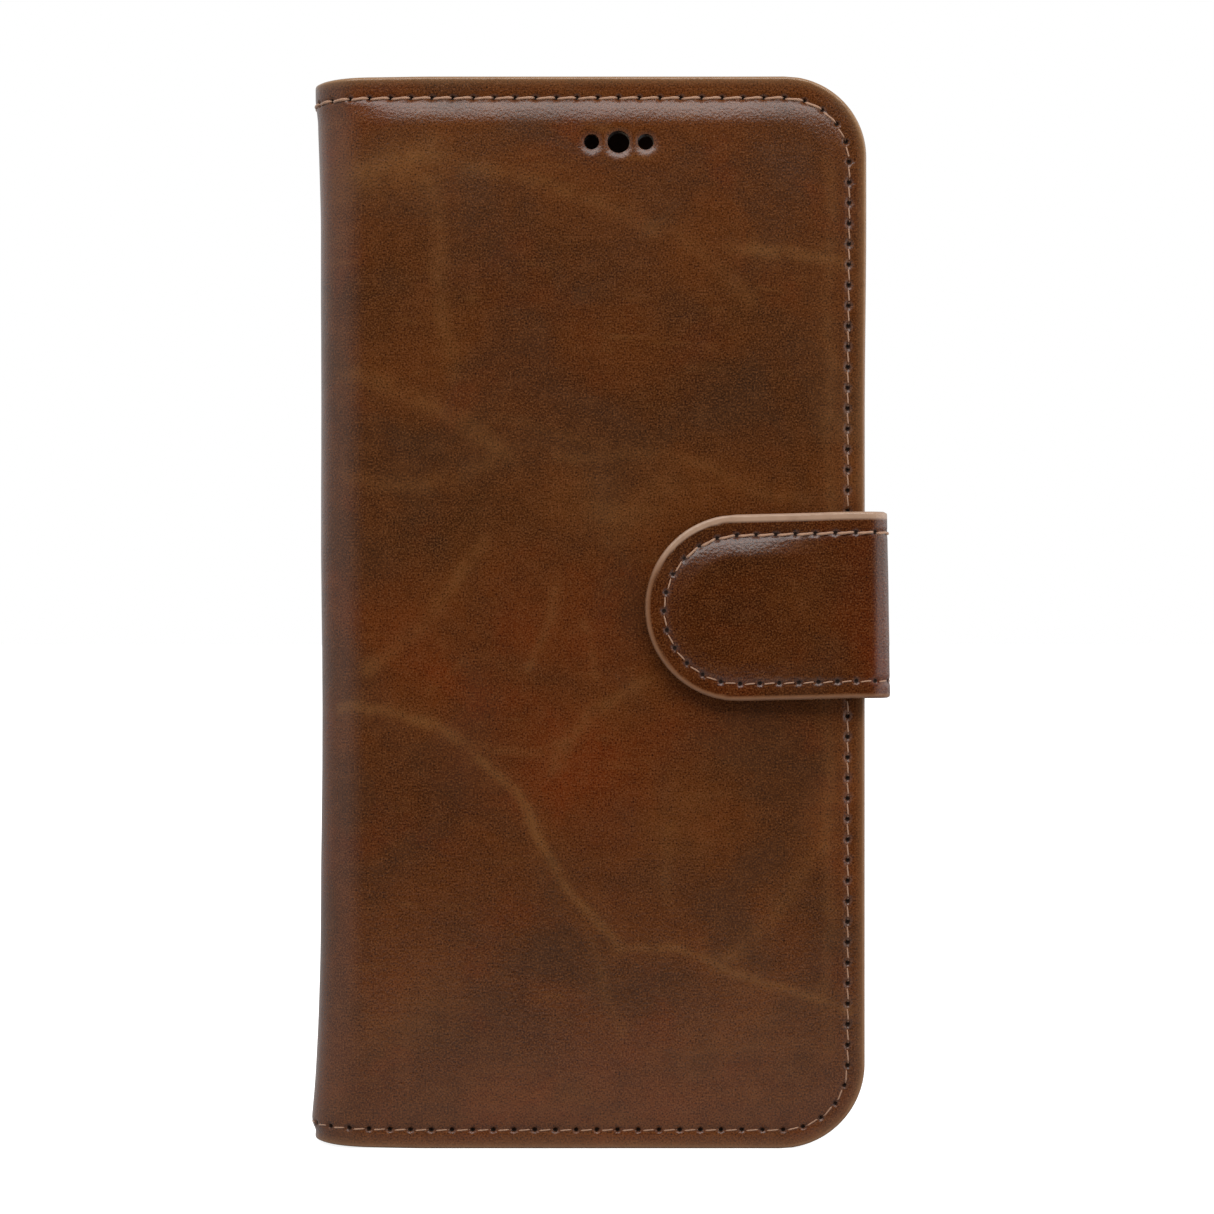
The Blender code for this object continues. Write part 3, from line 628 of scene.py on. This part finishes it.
def cut_edge(name, colour, dark):
    """The burnished edge of cut leather: fine fibres along it, a little darker in places."""
    m = Shader(name)
    hide = m.read("hide_co", "Vector")
    streak = m.noise(m.shifted(hide, (0.0, 0.0, 0.0), (3.0, 3.0, 60.0)), 2.0, 4.0, 0.6)
    wear_and_top_light = m.noise(hide, 1.3, 3.0, 0.6)
    shade = m.mix(m.range(streak, 0.35, 0.7, 0.0, 0.35), colour, dark)
    shade = m.mix(m.range(wear_and_top_light, 0.40, 0.70, 0.0, 0.35), shade, dark)
    m.set(Base_Color=shade, Roughness=0.55, Normal=m.bump(streak, 0.25, 0.00005))
    return m.material


def fibrous(name, colour, dark, grain, low, share, rough, relief=None, stretch=(1, 1, 1), **even):
    """One noise, drawn out where it is fibres or brushing, in the colour and the relief."""
    m = Shader(name)
    place = m.shifted(m.add("TexCoord").outputs["Object"], (0, 0, 0), stretch)
    fibre = m.noise(place, *grain)
    if isinstance(rough, tuple):
        rough = m.range(fibre, low, 0.7, *rough)
    m.set(Base_Color=m.mix(m.range(fibre, low, 0.7, 0.0, share), colour, dark), Roughness=rough)
    if relief:
        m.set(Normal=m.bump(fibre, *relief))
    m.set(**even)
    return m.material


def moulded(name, colour, roughness, grain=2500.0, strength=0.15):
    """Soft moulded shell with a fine spark-eroded texture."""
    m = Shader(name)
    place = m.add("TexCoord").outputs["Object"]
    fine = m.noise(place, grain, 2.0, 0.5)
    wide = m.noise(place, 40.0, 2.0, 0.5)
    shade = m.mix(m.range(wide, 0.3, 0.7, 0.0, 0.25), colour, dimmed(colour, 0.7))
    m.set(Base_Color=shade, Roughness=m.range(wide, 0.3, 0.7, roughness - 0.05, roughness + 0.08),
          Normal=m.bump(fine, strength, 0.00003))
    return m.material


def dimmed(colour, share):
    return tuple(c * share for c in colour)


def board_material(name, colour):
    return fibrous(name, colour, dimmed(colour, 0.6), (1800.0, 4.0, 0.7), 0.3, 0.5, 0.85,
                   (0.4, 0.00005), (1.0, 1.0, 0.25))


def metal_material(name, colour, rough):
    return fibrous(name, colour, dimmed(colour, 0.8), (900.0, 3.0, 0.6), 0.3, 0.3,
                   (rough, rough + 0.12), stretch=(1.0, 1.0, 30.0), Metallic=1.0)


def make_materials():
    # Each pair of rim colours: the cut edge's own, then a paler one painted on the top rims as
    # light from above.
    cover_edge_and_lit_top = (srgb(128, 92, 62), srgb(138, 104, 72))
    strap_edge_and_lit_top = (srgb(122, 84, 58), srgb(164, 134, 112))
    lining = (srgb(108, 66, 37), srgb(84, 50, 27), srgb(102, 56, 27), srgb(134, 94, 58),
              cover_edge_and_lit_top, (0.46, 0.60))
    return {
        "outer": pull_up_leather("pull_up_leather", srgb(85, 42, 12), srgb(52, 29, 10),
                                 srgb(98, 37, 6), srgb(122, 80, 40), cover_edge_and_lit_top, (0.23, 0.33)),
        "strap": pull_up_leather("strap_leather", srgb(73, 32, 5), srgb(44, 22, 5),
                                 srgb(88, 32, 4), srgb(104, 60, 25), strap_edge_and_lit_top, (0.22, 0.30)),
        "lining": pull_up_leather("lining_leather", *lining),
        "leaf": pull_up_leather("leaf_leather", *lining, solid=True),
        "edge": cut_edge("cut_edge", cover_edge_and_lit_top[0], srgb(96, 66, 44)),
        "strap_edge": cut_edge("strap_cut_edge", srgb(140, 106, 82), srgb(110, 78, 54)),
        # Walls of the ear holes and the camera window, painted dark brown in place of the tan cut
        # edge: painted shade inside the holes.
        "hole_wall_shade": cut_edge("painted_hole_shade", srgb(44, 25, 14), srgb(26, 14, 8)),
        "thread": fibrous("waxed_thread", srgb(166, 126, 98), srgb(112, 78, 56),
                          (9000.0, 3.0, 0.6), 0.35, 0.5, 0.62, (0.35, 0.00003), Sheen_Weight=0.25),
        "shell": moulded("shell_rubber", srgb(52, 34, 24), 0.48),
        "board": board_material("grey_board", srgb(150, 138, 120)),
        "steel": metal_material("plated_steel", srgb(190, 192, 196), 0.28),
        "magnet": metal_material("nickel", srgb(205, 200, 190), 0.18),
        "tape": board_material("foam_tape", srgb(225, 222, 214)),
    }


# ---- creases that pale the leather

# Each crease on the front cover: (x, z) points in millimetres, width, strength.
FRONT_CREASES = (
    (((-38, 63.4), (-29, 63.4), (-22, 60.8), (-17, 55.5), (-12, 50.4), (-8, 43.2)), 1.0, 0.66),
    (((-8, 43.2), (-4.6, 37.4), (-0.3, 32), (2.6, 29.1)), 0.9, 0.64),
    (((2.6, 29.1), (9.8, 28.8), (17, 26.6), (25.7, 23.7), (36, 19.6)), 0.8, 0.56),
    (((-1.7, 31), (0.4, 24.5), (2.6, 17.2)), 1.0, 0.26),
    (((-25.5, 140), (-24.1, 132.6), (-23.1, 122.5), (-21.9, 112.4)), 1.5, 0.34),
    (((-38, 138.4), (-32, 142), (-23.4, 145)), 2.4, 0.38),
    (((-19, 141.6), (-7.5, 139.1), (1.2, 136.2), (7, 132.6)), 1.5, 0.38),
    (((8, 133.3), (15.6, 128.3), (21.4, 123.2)), 1.6, 0.24),
    (((18, 130.6), (25.7, 129.7), (35, 127.4)), 1.1, 0.48),
    (((-38, 112), (-33, 111), (-23.5, 107.5), (-17, 103), (-14, 99.5)), 1.6, 0.34),
    (((-14, 99.5), (-22, 97.3), (-31, 95.2), (-37, 97)), 1.4, 0.26),
    (((-15, 105.2), (-7.5, 103.8), (1, 102)), 1.0, 0.18),
    (((-6, 100), (6, 100.5), (15, 98.7), (21.3, 95.1), (28.6, 93.7)), 1.1, 0.26),
    (((-17, 87.2), (-22, 80.7), (-29, 73.5), (-34, 69)), 1.4, 0.34),
    (((-6, 82.1), (-8.2, 74.9), (-11.1, 69.2)), 0.8, 0.36),
    (((-3, 76.4), (-1, 68.4)), 0.7, 0.30),
    (((6.2, 67.7), (-1, 63.4), (-5.3, 59.1), (-7.5, 54)), 1.3, 0.44),
    (((-18.3, 58.3), (-11.1, 56.2), (-5.3, 59.1)), 0.8, 0.34),
    (((-20.5, 70.6), (-24.8, 66.3)), 0.7, 0.22),
    (((30, 41.8), (25, 34.6), (20.6, 30.2), (16.3, 26.6)), 1.7, 0.34),
    (((9.8, 46.1), (9.1, 34.6)), 1.0, 0.20),
    (((32.5, 142), (32.7, 100), (32.3, 60), (32.5, 14)), 1.1, 0.26),
)
BACK_CREASES = (
    (((-38, 118), (-22, 112), (-6, 98), (8, 92), (30, 90)), 0.9, 0.52),
    (((-12, 20), (-6, 38), (4, 50), (18, 55)), 0.9, 0.48),
    (((-34, 48), (-24, 40), (-14, 38)), 0.9, 0.42),
    (((2, 128), (-6, 140), (-10, 150)), 1.0, 0.40),
    (((-30, 80), (-18, 74), (-4, 76)), 1.0, 0.32),
)
# Broad clouds on the front: centre x, z and half sizes in millimetres, and how much of
# red, dark and pale each brings.
FRONT_CLOUDS = (
    ((-27, 73), (9, 10), (0.6, 0, 0)),
    ((-4, 75), (13, 8), (0.55, 0, 0)),
    ((-3, 56), (18, 9), (0.95, 0, 0)),
    ((-21, 62), (8, 5), (0.35, 0, 0)),
    ((-31, 126), (8, 9), (0, 0.55, 0)),
    ((-11, 125), (17, 11), (0, 0.42, 0)),
    ((15, 108), (22, 8), (0, 0.66, 0)),
    ((23, 119), (14, 8), (0, 0.45, 0)),
    ((-28, 103), (7, 4.5), (0, 0.6, 0)),
    ((-21, 91), (11, 6), (0, 0.6, 0)),
    ((-9, 112), (15, 6), (0.15, 0.42, 0)),
    ((-21, 52), (9, 6), (0, 0.45, 0)),
    ((20, 57), (10, 9), (0, 0.55, 0)),
    ((31, 36), (4.5, 6), (0, 0.55, 0)),
    ((-11, 28), (8, 3.5), (0, 0.45, 0)),
    ((-12, 16), (11, 6), (0, 0.2, 0)),
    ((0, 4), (42, 9), (0.45, 0, 0.26)),
    ((-28, 21), (9, 10), (0.12, 0, 0.22)),
    ((20, 14), (14, 8), (0.18, 0, 0.24)),
    ((2, 94), (9, 4), (0, 0, 0.3)),
    ((-30, 143), (9, 3.5), (0, 0, 0.3)),
    ((14, 49), (8, 8), (0, 0, 0.2)),
    ((34, 100), (3, 16), (0.2, 0, 0.3)),
    ((35, 50), (3, 14), (0.5, 0, 0.25)),
)
BACK_CLOUDS = (
    ((-14, 40), (28, 24), (0.6, 0, 0)),
    ((10, 78), (24, 14), (0, 0.5, 0)),
    ((-20, 110), (20, 12), (0, 0, 0.3)),
    ((8, 28), (14, 12), (0, 0.4, 0)),
)
STRAP_CLOUDS = (
    ((23, 83), (7, 4), (0, 0.6, 0)),
    ((18, 76), (9, 7), (0.25, 0.55, 0)),
    ((31, 78), (4.5, 10), (0, 0, 0.22)),
    ((39, 77), (4, 12), (0.9, 0, 0)),
    ((25, 70), (8, 4), (0, 0, 0.18)),
)


def rounded_route(points):
    """A route through the points' middles with its corners cut twice."""
    route = np.array(points, float)
    for _ in range(2):
        a, b = route[:-1], route[1:]
        cut = np.stack([0.75 * a + 0.25 * b, 0.25 * a + 0.75 * b], 1).reshape(-1, 2)
        route = np.concatenate([route[:1], cut, route[-1:]])
    return route


def crease_field(x, z, creases):
    """How strongly creases pale each place; x and z in metres."""
    px, pz = x / MM, z / MM
    px = px + 0.4 * np.sin(pz * 0.31 + 1.0) + 0.13 * np.sin(pz * 0.93 + px * 0.4)
    pz = pz + 0.4 * np.sin(px * 0.27 + 2.0) + 0.12 * np.sin(px * 1.11)
    total = np.zeros_like(px)
    for points, width, strength in creases:
        nearest = np.full_like(px, 1e9)
        route = rounded_route(points)
        for (x0, z0), (x1, z1) in zip(route, route[1:]):
            ux, uz = x1 - x0, z1 - z0
            t = np.clip(((px - x0) * ux + (pz - z0) * uz) / (ux * ux + uz * uz), 0, 1)
            nearest = np.minimum(nearest, np.hypot(px - x0 - t * ux, pz - z0 - t * uz))
        line = np.exp(-(nearest / width) ** 2)
        halo = 0.34 * np.exp(-nearest / (2.4 * width))
        total = np.maximum(total, strength * np.maximum(line, halo))
    uneven = np.sin(px * 0.41 + pz * 0.23) * np.sin(pz * 0.37 - px * 0.19 + 1.3)
    return total * (0.80 + 0.20 * uneven)


def cloud_field(x, z, clouds):
    """Red, dark and pale shares of each place; x and z in metres."""
    px, pz = x / MM, z / MM
    px, pz = (px + 2.4 * np.sin(pz * 0.17) + 1.1 * np.sin(pz * 0.43 + px * 0.2),
              pz + 2.0 * np.sin(px * 0.19 + 1.0) + 0.9 * np.sin(px * 0.51))
    total = np.zeros((len(px), 3))
    for (cx, cz), (rx, rz), shares in clouds:
        near = np.exp(-((px - cx) / rx) ** 2 - ((pz - cz) / rz) ** 2)
        total = np.maximum(total, near[:, None] * np.array(shares))
    return total


def dress(obj, wrap, s, z, creases=(), clouds=()):
    """The attributes that the leather materials read."""
    across = wrap.sign * s * HIDE_SCALE + (STRAP_ON_HIDE if wrap.side > 0 else 0)
    hide = np.stack([across, z * HIDE_SCALE, np.zeros_like(s)], -1)
    attribute(obj, "hide_co", hide)
    flat_x = wrap.centre[0] - wrap.side * (s - wrap.turned)
    attribute(obj, "pull", crease_field(flat_x, z, creases))
    attribute(obj, "cloud", cloud_field(flat_x, z, clouds))
    past = wrap.outline(s, z) - wrap.by_side(wrap.bands, s, z)
    edge = 1 - smooth(past / (0.30 * MM))
    attribute(obj, "edge", np.maximum(edge, wrap.fade * (1 - smooth(past / (1.3 * MM)))))
    up = (z - wrap.low) / (wrap.high - wrap.low)
    # Rims painted paler towards the top: painted light from above.
    attribute(obj, "wear_and_top_light", smooth((up - 0.62) / 0.30))
    # The needle holes' mask, which the leather paints near black: painted shade.
    attribute(obj, "pit", pit_field(wrap, s, z))


def pit_field(wrap, s, z):
    """Round needle holes, a little above the middle of the thread."""
    # This also masks the painted shade that darkens the holes in the leather.
    near = np.abs(wrap.from_stitch(s, z)) < 0.8 * MM
    out = np.zeros_like(s)
    for hole in wrap.stitch_holes():
        r = np.hypot(s[near] - hole[0], z[near] - hole[1] - HOLE_RISE)
        out[near] = np.maximum(out[near], bump(r / HOLE_RADIUS))
    return out


# ---- stitches

def stitch_mesh(name, wrap, depth, material, outward=1):
    """One twisted thread segment from each needle hole to the next.

    The top run lies proud of the leather; the others are pulled down into it.
    """
    holes = wrap.stitch_holes()
    slant = 0.12 * MM * wrap.side * wrap.sign * outward
    sides, rings = 9, 11
    t = np.linspace(0, 1, rings)
    points, faces = [], []
    for k in range(len(holes) - 1):
        a, b = holes[k], holes[k + 1]
        run = b - a
        length = np.hypot(*run)
        across = np.array([-run[1], run[0]]) / length
        trim = 0.20 * MM / length
        u = trim + (1 - 2 * trim) * t
        offset = slant * (2 * u - 1)
        s = a[0] + run[0] * u + across[0] * offset
        z = a[1] + run[1] * u + across[1] * offset
        proud = smooth((0.5 * (a[1] + b[1]) - wrap.high + 8 * MM) / (4 * MM))
        lift = (0.11 * proud - 0.03 * (1 - proud)) * MM
        rise = lift - 0.50 * MM * np.abs(2 * t - 1) ** 4
        centre = wrap.place(s, z, depth(s, z) - outward * rise)
        tangent = np.gradient(centre, axis=0)
        tangent /= np.linalg.norm(tangent, axis=1, keepdims=True)
        up = wrap.normal(s) * outward
        side = np.cross(tangent, up)
        side /= np.linalg.norm(side, axis=1, keepdims=True)
        up = np.cross(side, tangent)
        taper = (0.70 + 0.52 * proud) * THREAD_RADIUS * (1 - 0.45 * np.abs(2 * t - 1) ** 4)
        base = sum(len(p) for p in points)
        angle = np.linspace(0, 2 * math.pi, sides, endpoint=False)
        ply = 1 + 0.13 * np.cos(2 * angle[None, :] - 7.5 * t[:, None])
        radius = taper[:, None] * ply
        ring = (centre[:, None, :] + radius[..., None] * (
            np.cos(angle)[None, :, None] * side[:, None, :]
            + np.sin(angle)[None, :, None] * up[:, None, :]))
        points.append(ring.reshape(-1, 3))
        i, j = np.meshgrid(np.arange(rings - 1), np.arange(sides), indexing="ij")
        q = np.stack([i * sides + j, i * sides + (j + 1) % sides,
                      (i + 1) * sides + (j + 1) % sides, (i + 1) * sides + j], -1).reshape(-1, 4)
        faces.append(q + base)
        points.append(centre[[0, -1]])
        first, last = base + rings * sides, base + rings * sides + 1
        ring0 = base + np.arange(sides)
        ring1 = base + (rings - 1) * sides + np.arange(sides)
        faces.append(np.stack([ring0, np.full(sides, first), np.full(sides, first),
                               np.roll(ring0, -1)], 1))
        faces.append(np.stack([ring1, np.roll(ring1, -1), np.full(sides, last),
                               np.full(sides, last)], 1))
    return thread_object(name, np.concatenate(points), np.concatenate(faces), material)


def thread_object(name, points, quads, material):
    """A mesh from quads of which some repeat a corner, and so are triangles."""
    same_first = quads[:, 1] == quads[:, 2]
    same_last = quads[:, 2] == quads[:, 3]
    full = quads[~same_first & ~same_last]
    tris = np.concatenate([quads[same_first][:, [0, 1, 3]], quads[same_last][:, [0, 1, 2]]])
    obj = make_mesh(name, points, [full, tris], [material], smooth_angle=80)
    bm = bmesh.new()
    bm.from_mesh(obj.data)
    bmesh.ops.recalc_face_normals(bm, faces=bm.faces)
    bm.to_mesh(obj.data)
    bm.free()
    return obj


# ---- the covers and the strap


def circle_shape(radius):
    return lambda s, z: np.hypot(s, z) - radius


def rounded_square(half, corner):
    def away(s, z):
        qs, qz = np.abs(s) - half + corner, np.abs(z) - half + corner
        outside = np.hypot(np.maximum(qs, 0), np.maximum(qz, 0))
        return outside + np.minimum(np.maximum(qs, qz), 0) - corner
    return away


def cover_wrap(sign):
    right = STITCH_INSETS[1]
    return Wrap(-1, sign, SPINE_X, FACE_Y, SPINE_RADIUS, EDGE_X, 0.0, HEIGHT, COVER_CORNERS,
                STITCH_INSETS, COVER_CORNERS[1] - right, STITCH_PITCH)


def strap_wrap(sign):
    tab = sign < 0
    end = TAB_LOW[0] if tab else ANCHOR_LOW[0]
    corner = STRAP_HALF if tab else 3.0 * MM
    wrap = Wrap(1, sign, STRAP_X, STRAP_Y, STRAP_RADIUS, end, STRAP_Z - STRAP_HALF,
                STRAP_Z + STRAP_HALF, (corner, corner), STRAP_INSETS,
                max(corner - STRAP_INSETS[1], 0.6 * MM), STRAP_PITCH)
    wrap.edge, wrap.bands, wrap.fade = 0.45 * MM, (0.46 * MM, 0.50 * MM, 0.90 * MM), 0.0
    wrap.flanges, wrap.crown, wrap.steepness = (0.50 * MM, 0.32 * MM, 1.10 * MM), 3.2 * MM, 1.3
    wrap.board_drop = wrap.long_drop = 0.0
    wrap.groove, wrap.pit_depth = 0.08 * MM, 0.28 * MM
    wrap.onset = (-1.5 * MM, 17 * MM)
    wrap.tilt = TAB_TILT if tab else 0.0
    wrap.shift = -0.15 * MM
    return wrap


def lining_depths(wrap, inner, flange_inner):
    """Depths of a lining's hidden and visible faces, closing up to the leather at the edge."""
    def hidden(s, z):
        return wrap.padding(s, z) * 0.9 + LEATHER + SEAM + 0.1 * MM

    def visible(s, z):
        inside = wrap.from_stitch(s, z)
        risen = smooth(inside / (3.2 * MM))
        curl = rolled(wrap.outline(s, z), LINING_EDGE)
        groove = 0.10 * MM * bump(inside / (0.7 * MM))
        return flange_inner + (inner - flange_inner) * risen - curl - groove
    return hidden, visible


def sew(wrap, names, link, depths, bulge, slots, thread, marks):
    """A skin, its lining and their two stitch rows, from the link's middle round its corner along
    the body's face.

    The wraps in front stand for the link's own nodes too.
    """
    label, skin_kind, lining_kind = names
    inside, hidden, visible = depths
    skin, s, z = closed_sheet(f"{label}_{skin_kind}", wrap, True, wrap.pitted, inside, bulge,
                              slots[0])
    dress(skin, wrap, s, z, *marks)
    lining, s, z = closed_sheet(f"{label}_{lining_kind}", wrap, False, hidden, visible,
                                0.08 * MM, slots[1])
    dress(lining, wrap, s, z)
    outer = stitch_mesh(f"{label}_stitches", wrap, wrap.depth, thread)
    inner = stitch_mesh(f"{label}_stitches_inside", wrap, visible, thread, -1)
    leads = wrap.sign < 0
    for piece in (skin, lining, outer, inner):
        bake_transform(piece)
    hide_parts(f"{label}_leather", *([f"{link}_leather"] if leads else []))
    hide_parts(f"{label}_lining", *([f"{link}_lining"] if leads else []))
    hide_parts(f"{label}_stitching",
                *([f"{link}_stitch_top", f"{link}_stitch_bottom"] if leads else []))


def make_cover(sign, materials):
    front = sign < 0
    label, body = ("front", "front_cover") if front else ("back", "back_panel")
    wrap = cover_wrap(sign)
    if front:
        wrap.holes = [(EAR_X + dx, EAR_Z, circle_shape(r), r + 1.8 * MM) for dx, r in EAR_HOLES]
    else:
        x, z, half, corner = CAMERA
        wrap.holes = [(x, z, rounded_square(half, corner), half + 1.0 * MM)]

    def inside(s, z):
        return wrap.padding(s, z) + LEATHER

    # The holes' walls take the dark painted shade.
    walls = [materials["edge"], materials["hole_wall_shade"]]
    slots = ([materials["outer"]] + walls, [materials["lining"]] + walls)
    marks = (FRONT_CREASES, FRONT_CLOUDS) if front else (BACK_CREASES, BACK_CLOUDS)
    sew(wrap, (label, "cover_leather", "cover_lining"), "spine",
        (inside, *lining_depths(wrap, *COVER_LINING)), 0.10 * MM, slots, materials["thread"], marks)


def make_strap(sign, materials):
    tab = sign < 0
    label, body = ("strap_tab", "strap_tab") if tab else ("strap_anchor", "back_panel")
    wrap = strap_wrap(sign)
    back = TAB_BACK if tab else ANCHOR_BACK

    def inside(s, z):
        return wrap.padding(s, z) * 0.5 + STRAP_SKIN

    def hidden(s, z):
        return wrap.padding(s, z) * 0.5 + STRAP_BACKING

    def visible(s, z):
        groove = 0.08 * MM * bump(wrap.from_stitch(s, z) / (0.7 * MM))
        return back - rolled(wrap.outline(s, z), LINING_EDGE) - groove

    slots = ([materials["strap"], materials["strap_edge"]],
             [materials["lining"], materials["edge"]])
    sew(wrap, (label, "hide", "backing"), "strap_side", (inside, hidden, visible),
        0.12 * MM, slots, materials["thread"], ((), STRAP_CLOUDS if tab else ()))


# ---- inside of the front cover

LEAVES = ("cash_pocket_panel", "card_slot_1", "card_slot_2", "card_slot_3")
LEAF_PITCH = 2.8 * MM
LEAF_TURN = 7.0 * MM


class Leaf:
    """The flat inside of the front cover, which looks towards +Y; s is X here."""
    side, sign, high = 1, 1, HEIGHT

    def __init__(self, y, holes):
        self.y, self.holes = y, np.array(holes)

    def stitch_holes(self):
        return self.holes

    def place(self, s, z, depth):
        return np.stack([s, self.y - depth + 0 * s, z + 0 * s], -1)

    def normal(self, s):
        return np.stack([0 * s, 1 + 0 * s, 0 * s], -1)


def spaced(start, end):
    """Needle holes from start up to, but not on, end."""
    count = max(1, round(math.dist(start, end) / LEAF_PITCH))
    return [tuple(np.add(start, np.subtract(end, start) * i / count)) for i in range(count)]


def softened_copy(node, width, materials):
    """A carried-over solid with its sharp edges rolled over."""
    source = frame["nodes"][node]
    mesh = source.data.copy()
    mesh.materials.clear()
    for material in materials:
        mesh.materials.append(material)
    obj = bpy.data.objects.new(f"{node}_soft", mesh)
    bpy.context.scene.collection.objects.link(obj)
    bevel = obj.modifiers.new("rolled_edges", "BEVEL")
    bevel.width, bevel.segments, bevel.limit_method = width, 3, "ANGLE"
    bevel.angle_limit = math.radians(40)
    mesh.shade_smooth()
    mesh.set_sharp_from_angle(angle=math.radians(50))
    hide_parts(node)
    return obj


def make_leaves(materials):
    for node in LEAVES:
        leaf = softened_copy(node, 0.12 * MM, [materials["leaf"]])
        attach(leaf, "front_cover")
    low, high = box("card_panel_stitching")
    panel_y = box("cash_pocket_panel")[1][1]
    left, right, bottom, top = low[0], high[0], low[2], high[2]
    holes = spaced((left, top), (left, bottom))
    holes += spaced((left, bottom), (right - LEAF_TURN, bottom))
    count = round(LEAF_TURN * math.pi / 2 / LEAF_PITCH)
    for i in range(count):
        turn = math.radians(-90 + 90 * i / count)
        holes.append((right - LEAF_TURN + LEAF_TURN * math.cos(turn),
                      bottom + LEAF_TURN + LEAF_TURN * math.sin(turn)))
    holes += spaced((right, bottom + LEAF_TURN), (right, top)) + [(right, top)]
    leaf = Leaf(panel_y, holes)
    stitches = stitch_mesh("card_panel_stitches", leaf, lambda s, z: -0.10 * MM + 0 * s,
                           materials["thread"])
    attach(stitches, "front_cover")
    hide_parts("card_panel_stitching")
    shell = softened_copy("phone_shell", 0.25 * MM, [materials["shell"]])
    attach(shell, "back_panel")


# ---- stage

CAMERA_DISTANCE = 0.450     # from the front cover's face
CAMERA_X = 0.65 * MM
CAMERA_Z = 78.25 * MM
CAMERA_LENS = 92.53         # millimetres, on a 36 mm sensor
TENT_FRONT = 0.01
TENT_SIDES = 0.58
TENT_RIGHT = 2.0
TENT_LEFT = 0.32
TENT_FRONT_RAMP = (-0.98, -0.55)    # each ramp is a share of the way round from the
TENT_RIGHT_RAMP = (0.50, 1.05)      # middle of the tent
TENT_LEFT_RAMP = (-0.25, -0.75)
FLOOR_FRONT = 0.16
FLOOR_BACK = 6.0
FLOOR_GREY = 0.55
FLOOR_GLOW = 0.9
SOFTBOX_PLACE, SOFTBOX_AIM = (-0.02, -0.385, 0.535), (0.0, 0.0, 0.09)
SOFTBOX_SIZE, SOFTBOX_WATTS = (0.60, 0.27), 3.1


def make_camera():
    data = bpy.data.cameras.new("camera")
    data.sensor_width = 36.0
    data.lens = CAMERA_LENS
    data.clip_start = 0.01
    camera = bpy.data.objects.new("camera", data)
    camera.location = (CAMERA_X, -(FACE_Y + CAMERA_DISTANCE), CAMERA_Z)
    camera.rotation_euler = (math.pi / 2, 0.0, 0.0)
    bpy.context.scene.collection.objects.link(camera)
    bpy.context.scene.camera = camera


def area_light(name, place, target, size, power):
    data = bpy.data.lights.new(name, "AREA")
    data.shape = "RECTANGLE"
    data.size, data.size_y = size
    data.energy = power
    light = bpy.data.objects.new(name, data)
    light.location = place
    aim = Vector(target) - Vector(place)
    light.rotation_euler = aim.to_track_quat("-Z", "Y").to_euler()
    bpy.context.scene.collection.objects.link(light)


def make_world():
    """A white tent: light from the sides, above and behind, and little from the camera's side."""
    world = bpy.data.worlds.new("studio")
    bpy.context.scene.world = world
    world.use_nodes = True
    tree = world.node_tree
    back = tree.nodes["Background"]

    def added(kind, *links):
        node = tree.nodes.new("ShaderNode" + kind)
        for source, socket in links:
            tree.links.new(source, node.inputs[socket])
        return node

    def ramp(value, low, high, to_low, to_high, kind="LINEAR"):
        node = added("MapRange", (value, "Value"))
        node.interpolation_type = kind
        limits = {"From Min": low, "From Max": high, "To Min": to_low, "To Max": to_high}
        for key, number in limits.items():
            node.inputs[key].default_value = number
        return node.outputs[0]

    split = added("SeparateXYZ", (added("TexCoord").outputs["Generated"], 0))
    across, away = split.outputs["X"], split.outputs["Y"]
    front = ramp(away, *TENT_FRONT_RAMP, TENT_FRONT, TENT_SIDES)
    right = ramp(across, *TENT_RIGHT_RAMP, 0.0, TENT_RIGHT, "SMOOTHSTEP")
    left = ramp(across, *TENT_LEFT_RAMP, 0.0, TENT_LEFT)
    sides = added("Math", (left, 0), (right, 1)).outputs[0]
    strength = added("Math", (front, 0), (sides, 1)).outputs[0]
    seen = added("Mix", (strength, 2), (added("LightPath").outputs["Is Camera Ray"], 0))
    seen.inputs[3].default_value = 1.0
    tree.links.new(seen.outputs[0], back.inputs["Strength"])
    back.inputs["Color"].default_value = (1.0, 1.0, 1.0, 1.0)


def make_floor():
    """A pale floor, overexposed to white as in a product photograph."""
    bpy.ops.mesh.primitive_plane_add(size=1.0, location=(0.0, FLOOR_BACK / 2 - FLOOR_FRONT, 0.0))
    floor = bpy.context.object
    floor.name = "floor"
    floor.scale = (2 * FLOOR_BACK, FLOOR_BACK, 1.0)
    m = Shader("floor_white")
    m.set(Base_Color=(FLOOR_GREY,) * 3, Roughness=0.9)
    seen = m.add("LightPath").outputs["Is Camera Ray"]
    m.out.inputs["Emission Color"].default_value = (1.0, 1.0, 1.0, 1.0)
    m.put(m.out.inputs["Emission Strength"], m.math("MULTIPLY", seen, FLOOR_GLOW))
    floor.data.materials.append(m.material)


def make_stage():
    scene = bpy.context.scene
    scene.view_settings.view_transform = "Standard"
    make_camera()
    make_world()
    make_floor()
    area_light("top_softbox", SOFTBOX_PLACE, SOFTBOX_AIM, SOFTBOX_SIZE, SOFTBOX_WATTS)


def finish_frame_nodes(materials):
    """Materials for the solids that stay as the frame has them."""
    looks = {"front_board": "board", "spine_board": "board", "back_board": "board",
             "clasp_keeper_plate": "steel", "strap_magnet": "magnet", "shell_adhesive": "tape"}
    for node, look in looks.items():
        obj = frame["nodes"][node]
        for slot in obj.material_slots:
            slot.material = materials[look]


def main():
    materials = make_materials()
    make_stage()
    make_cover(-1, materials)
    make_cover(1, materials)
    make_strap(-1, materials)
    make_strap(1, materials)
    make_leaves(materials)
    finish_frame_nodes(materials)


main()
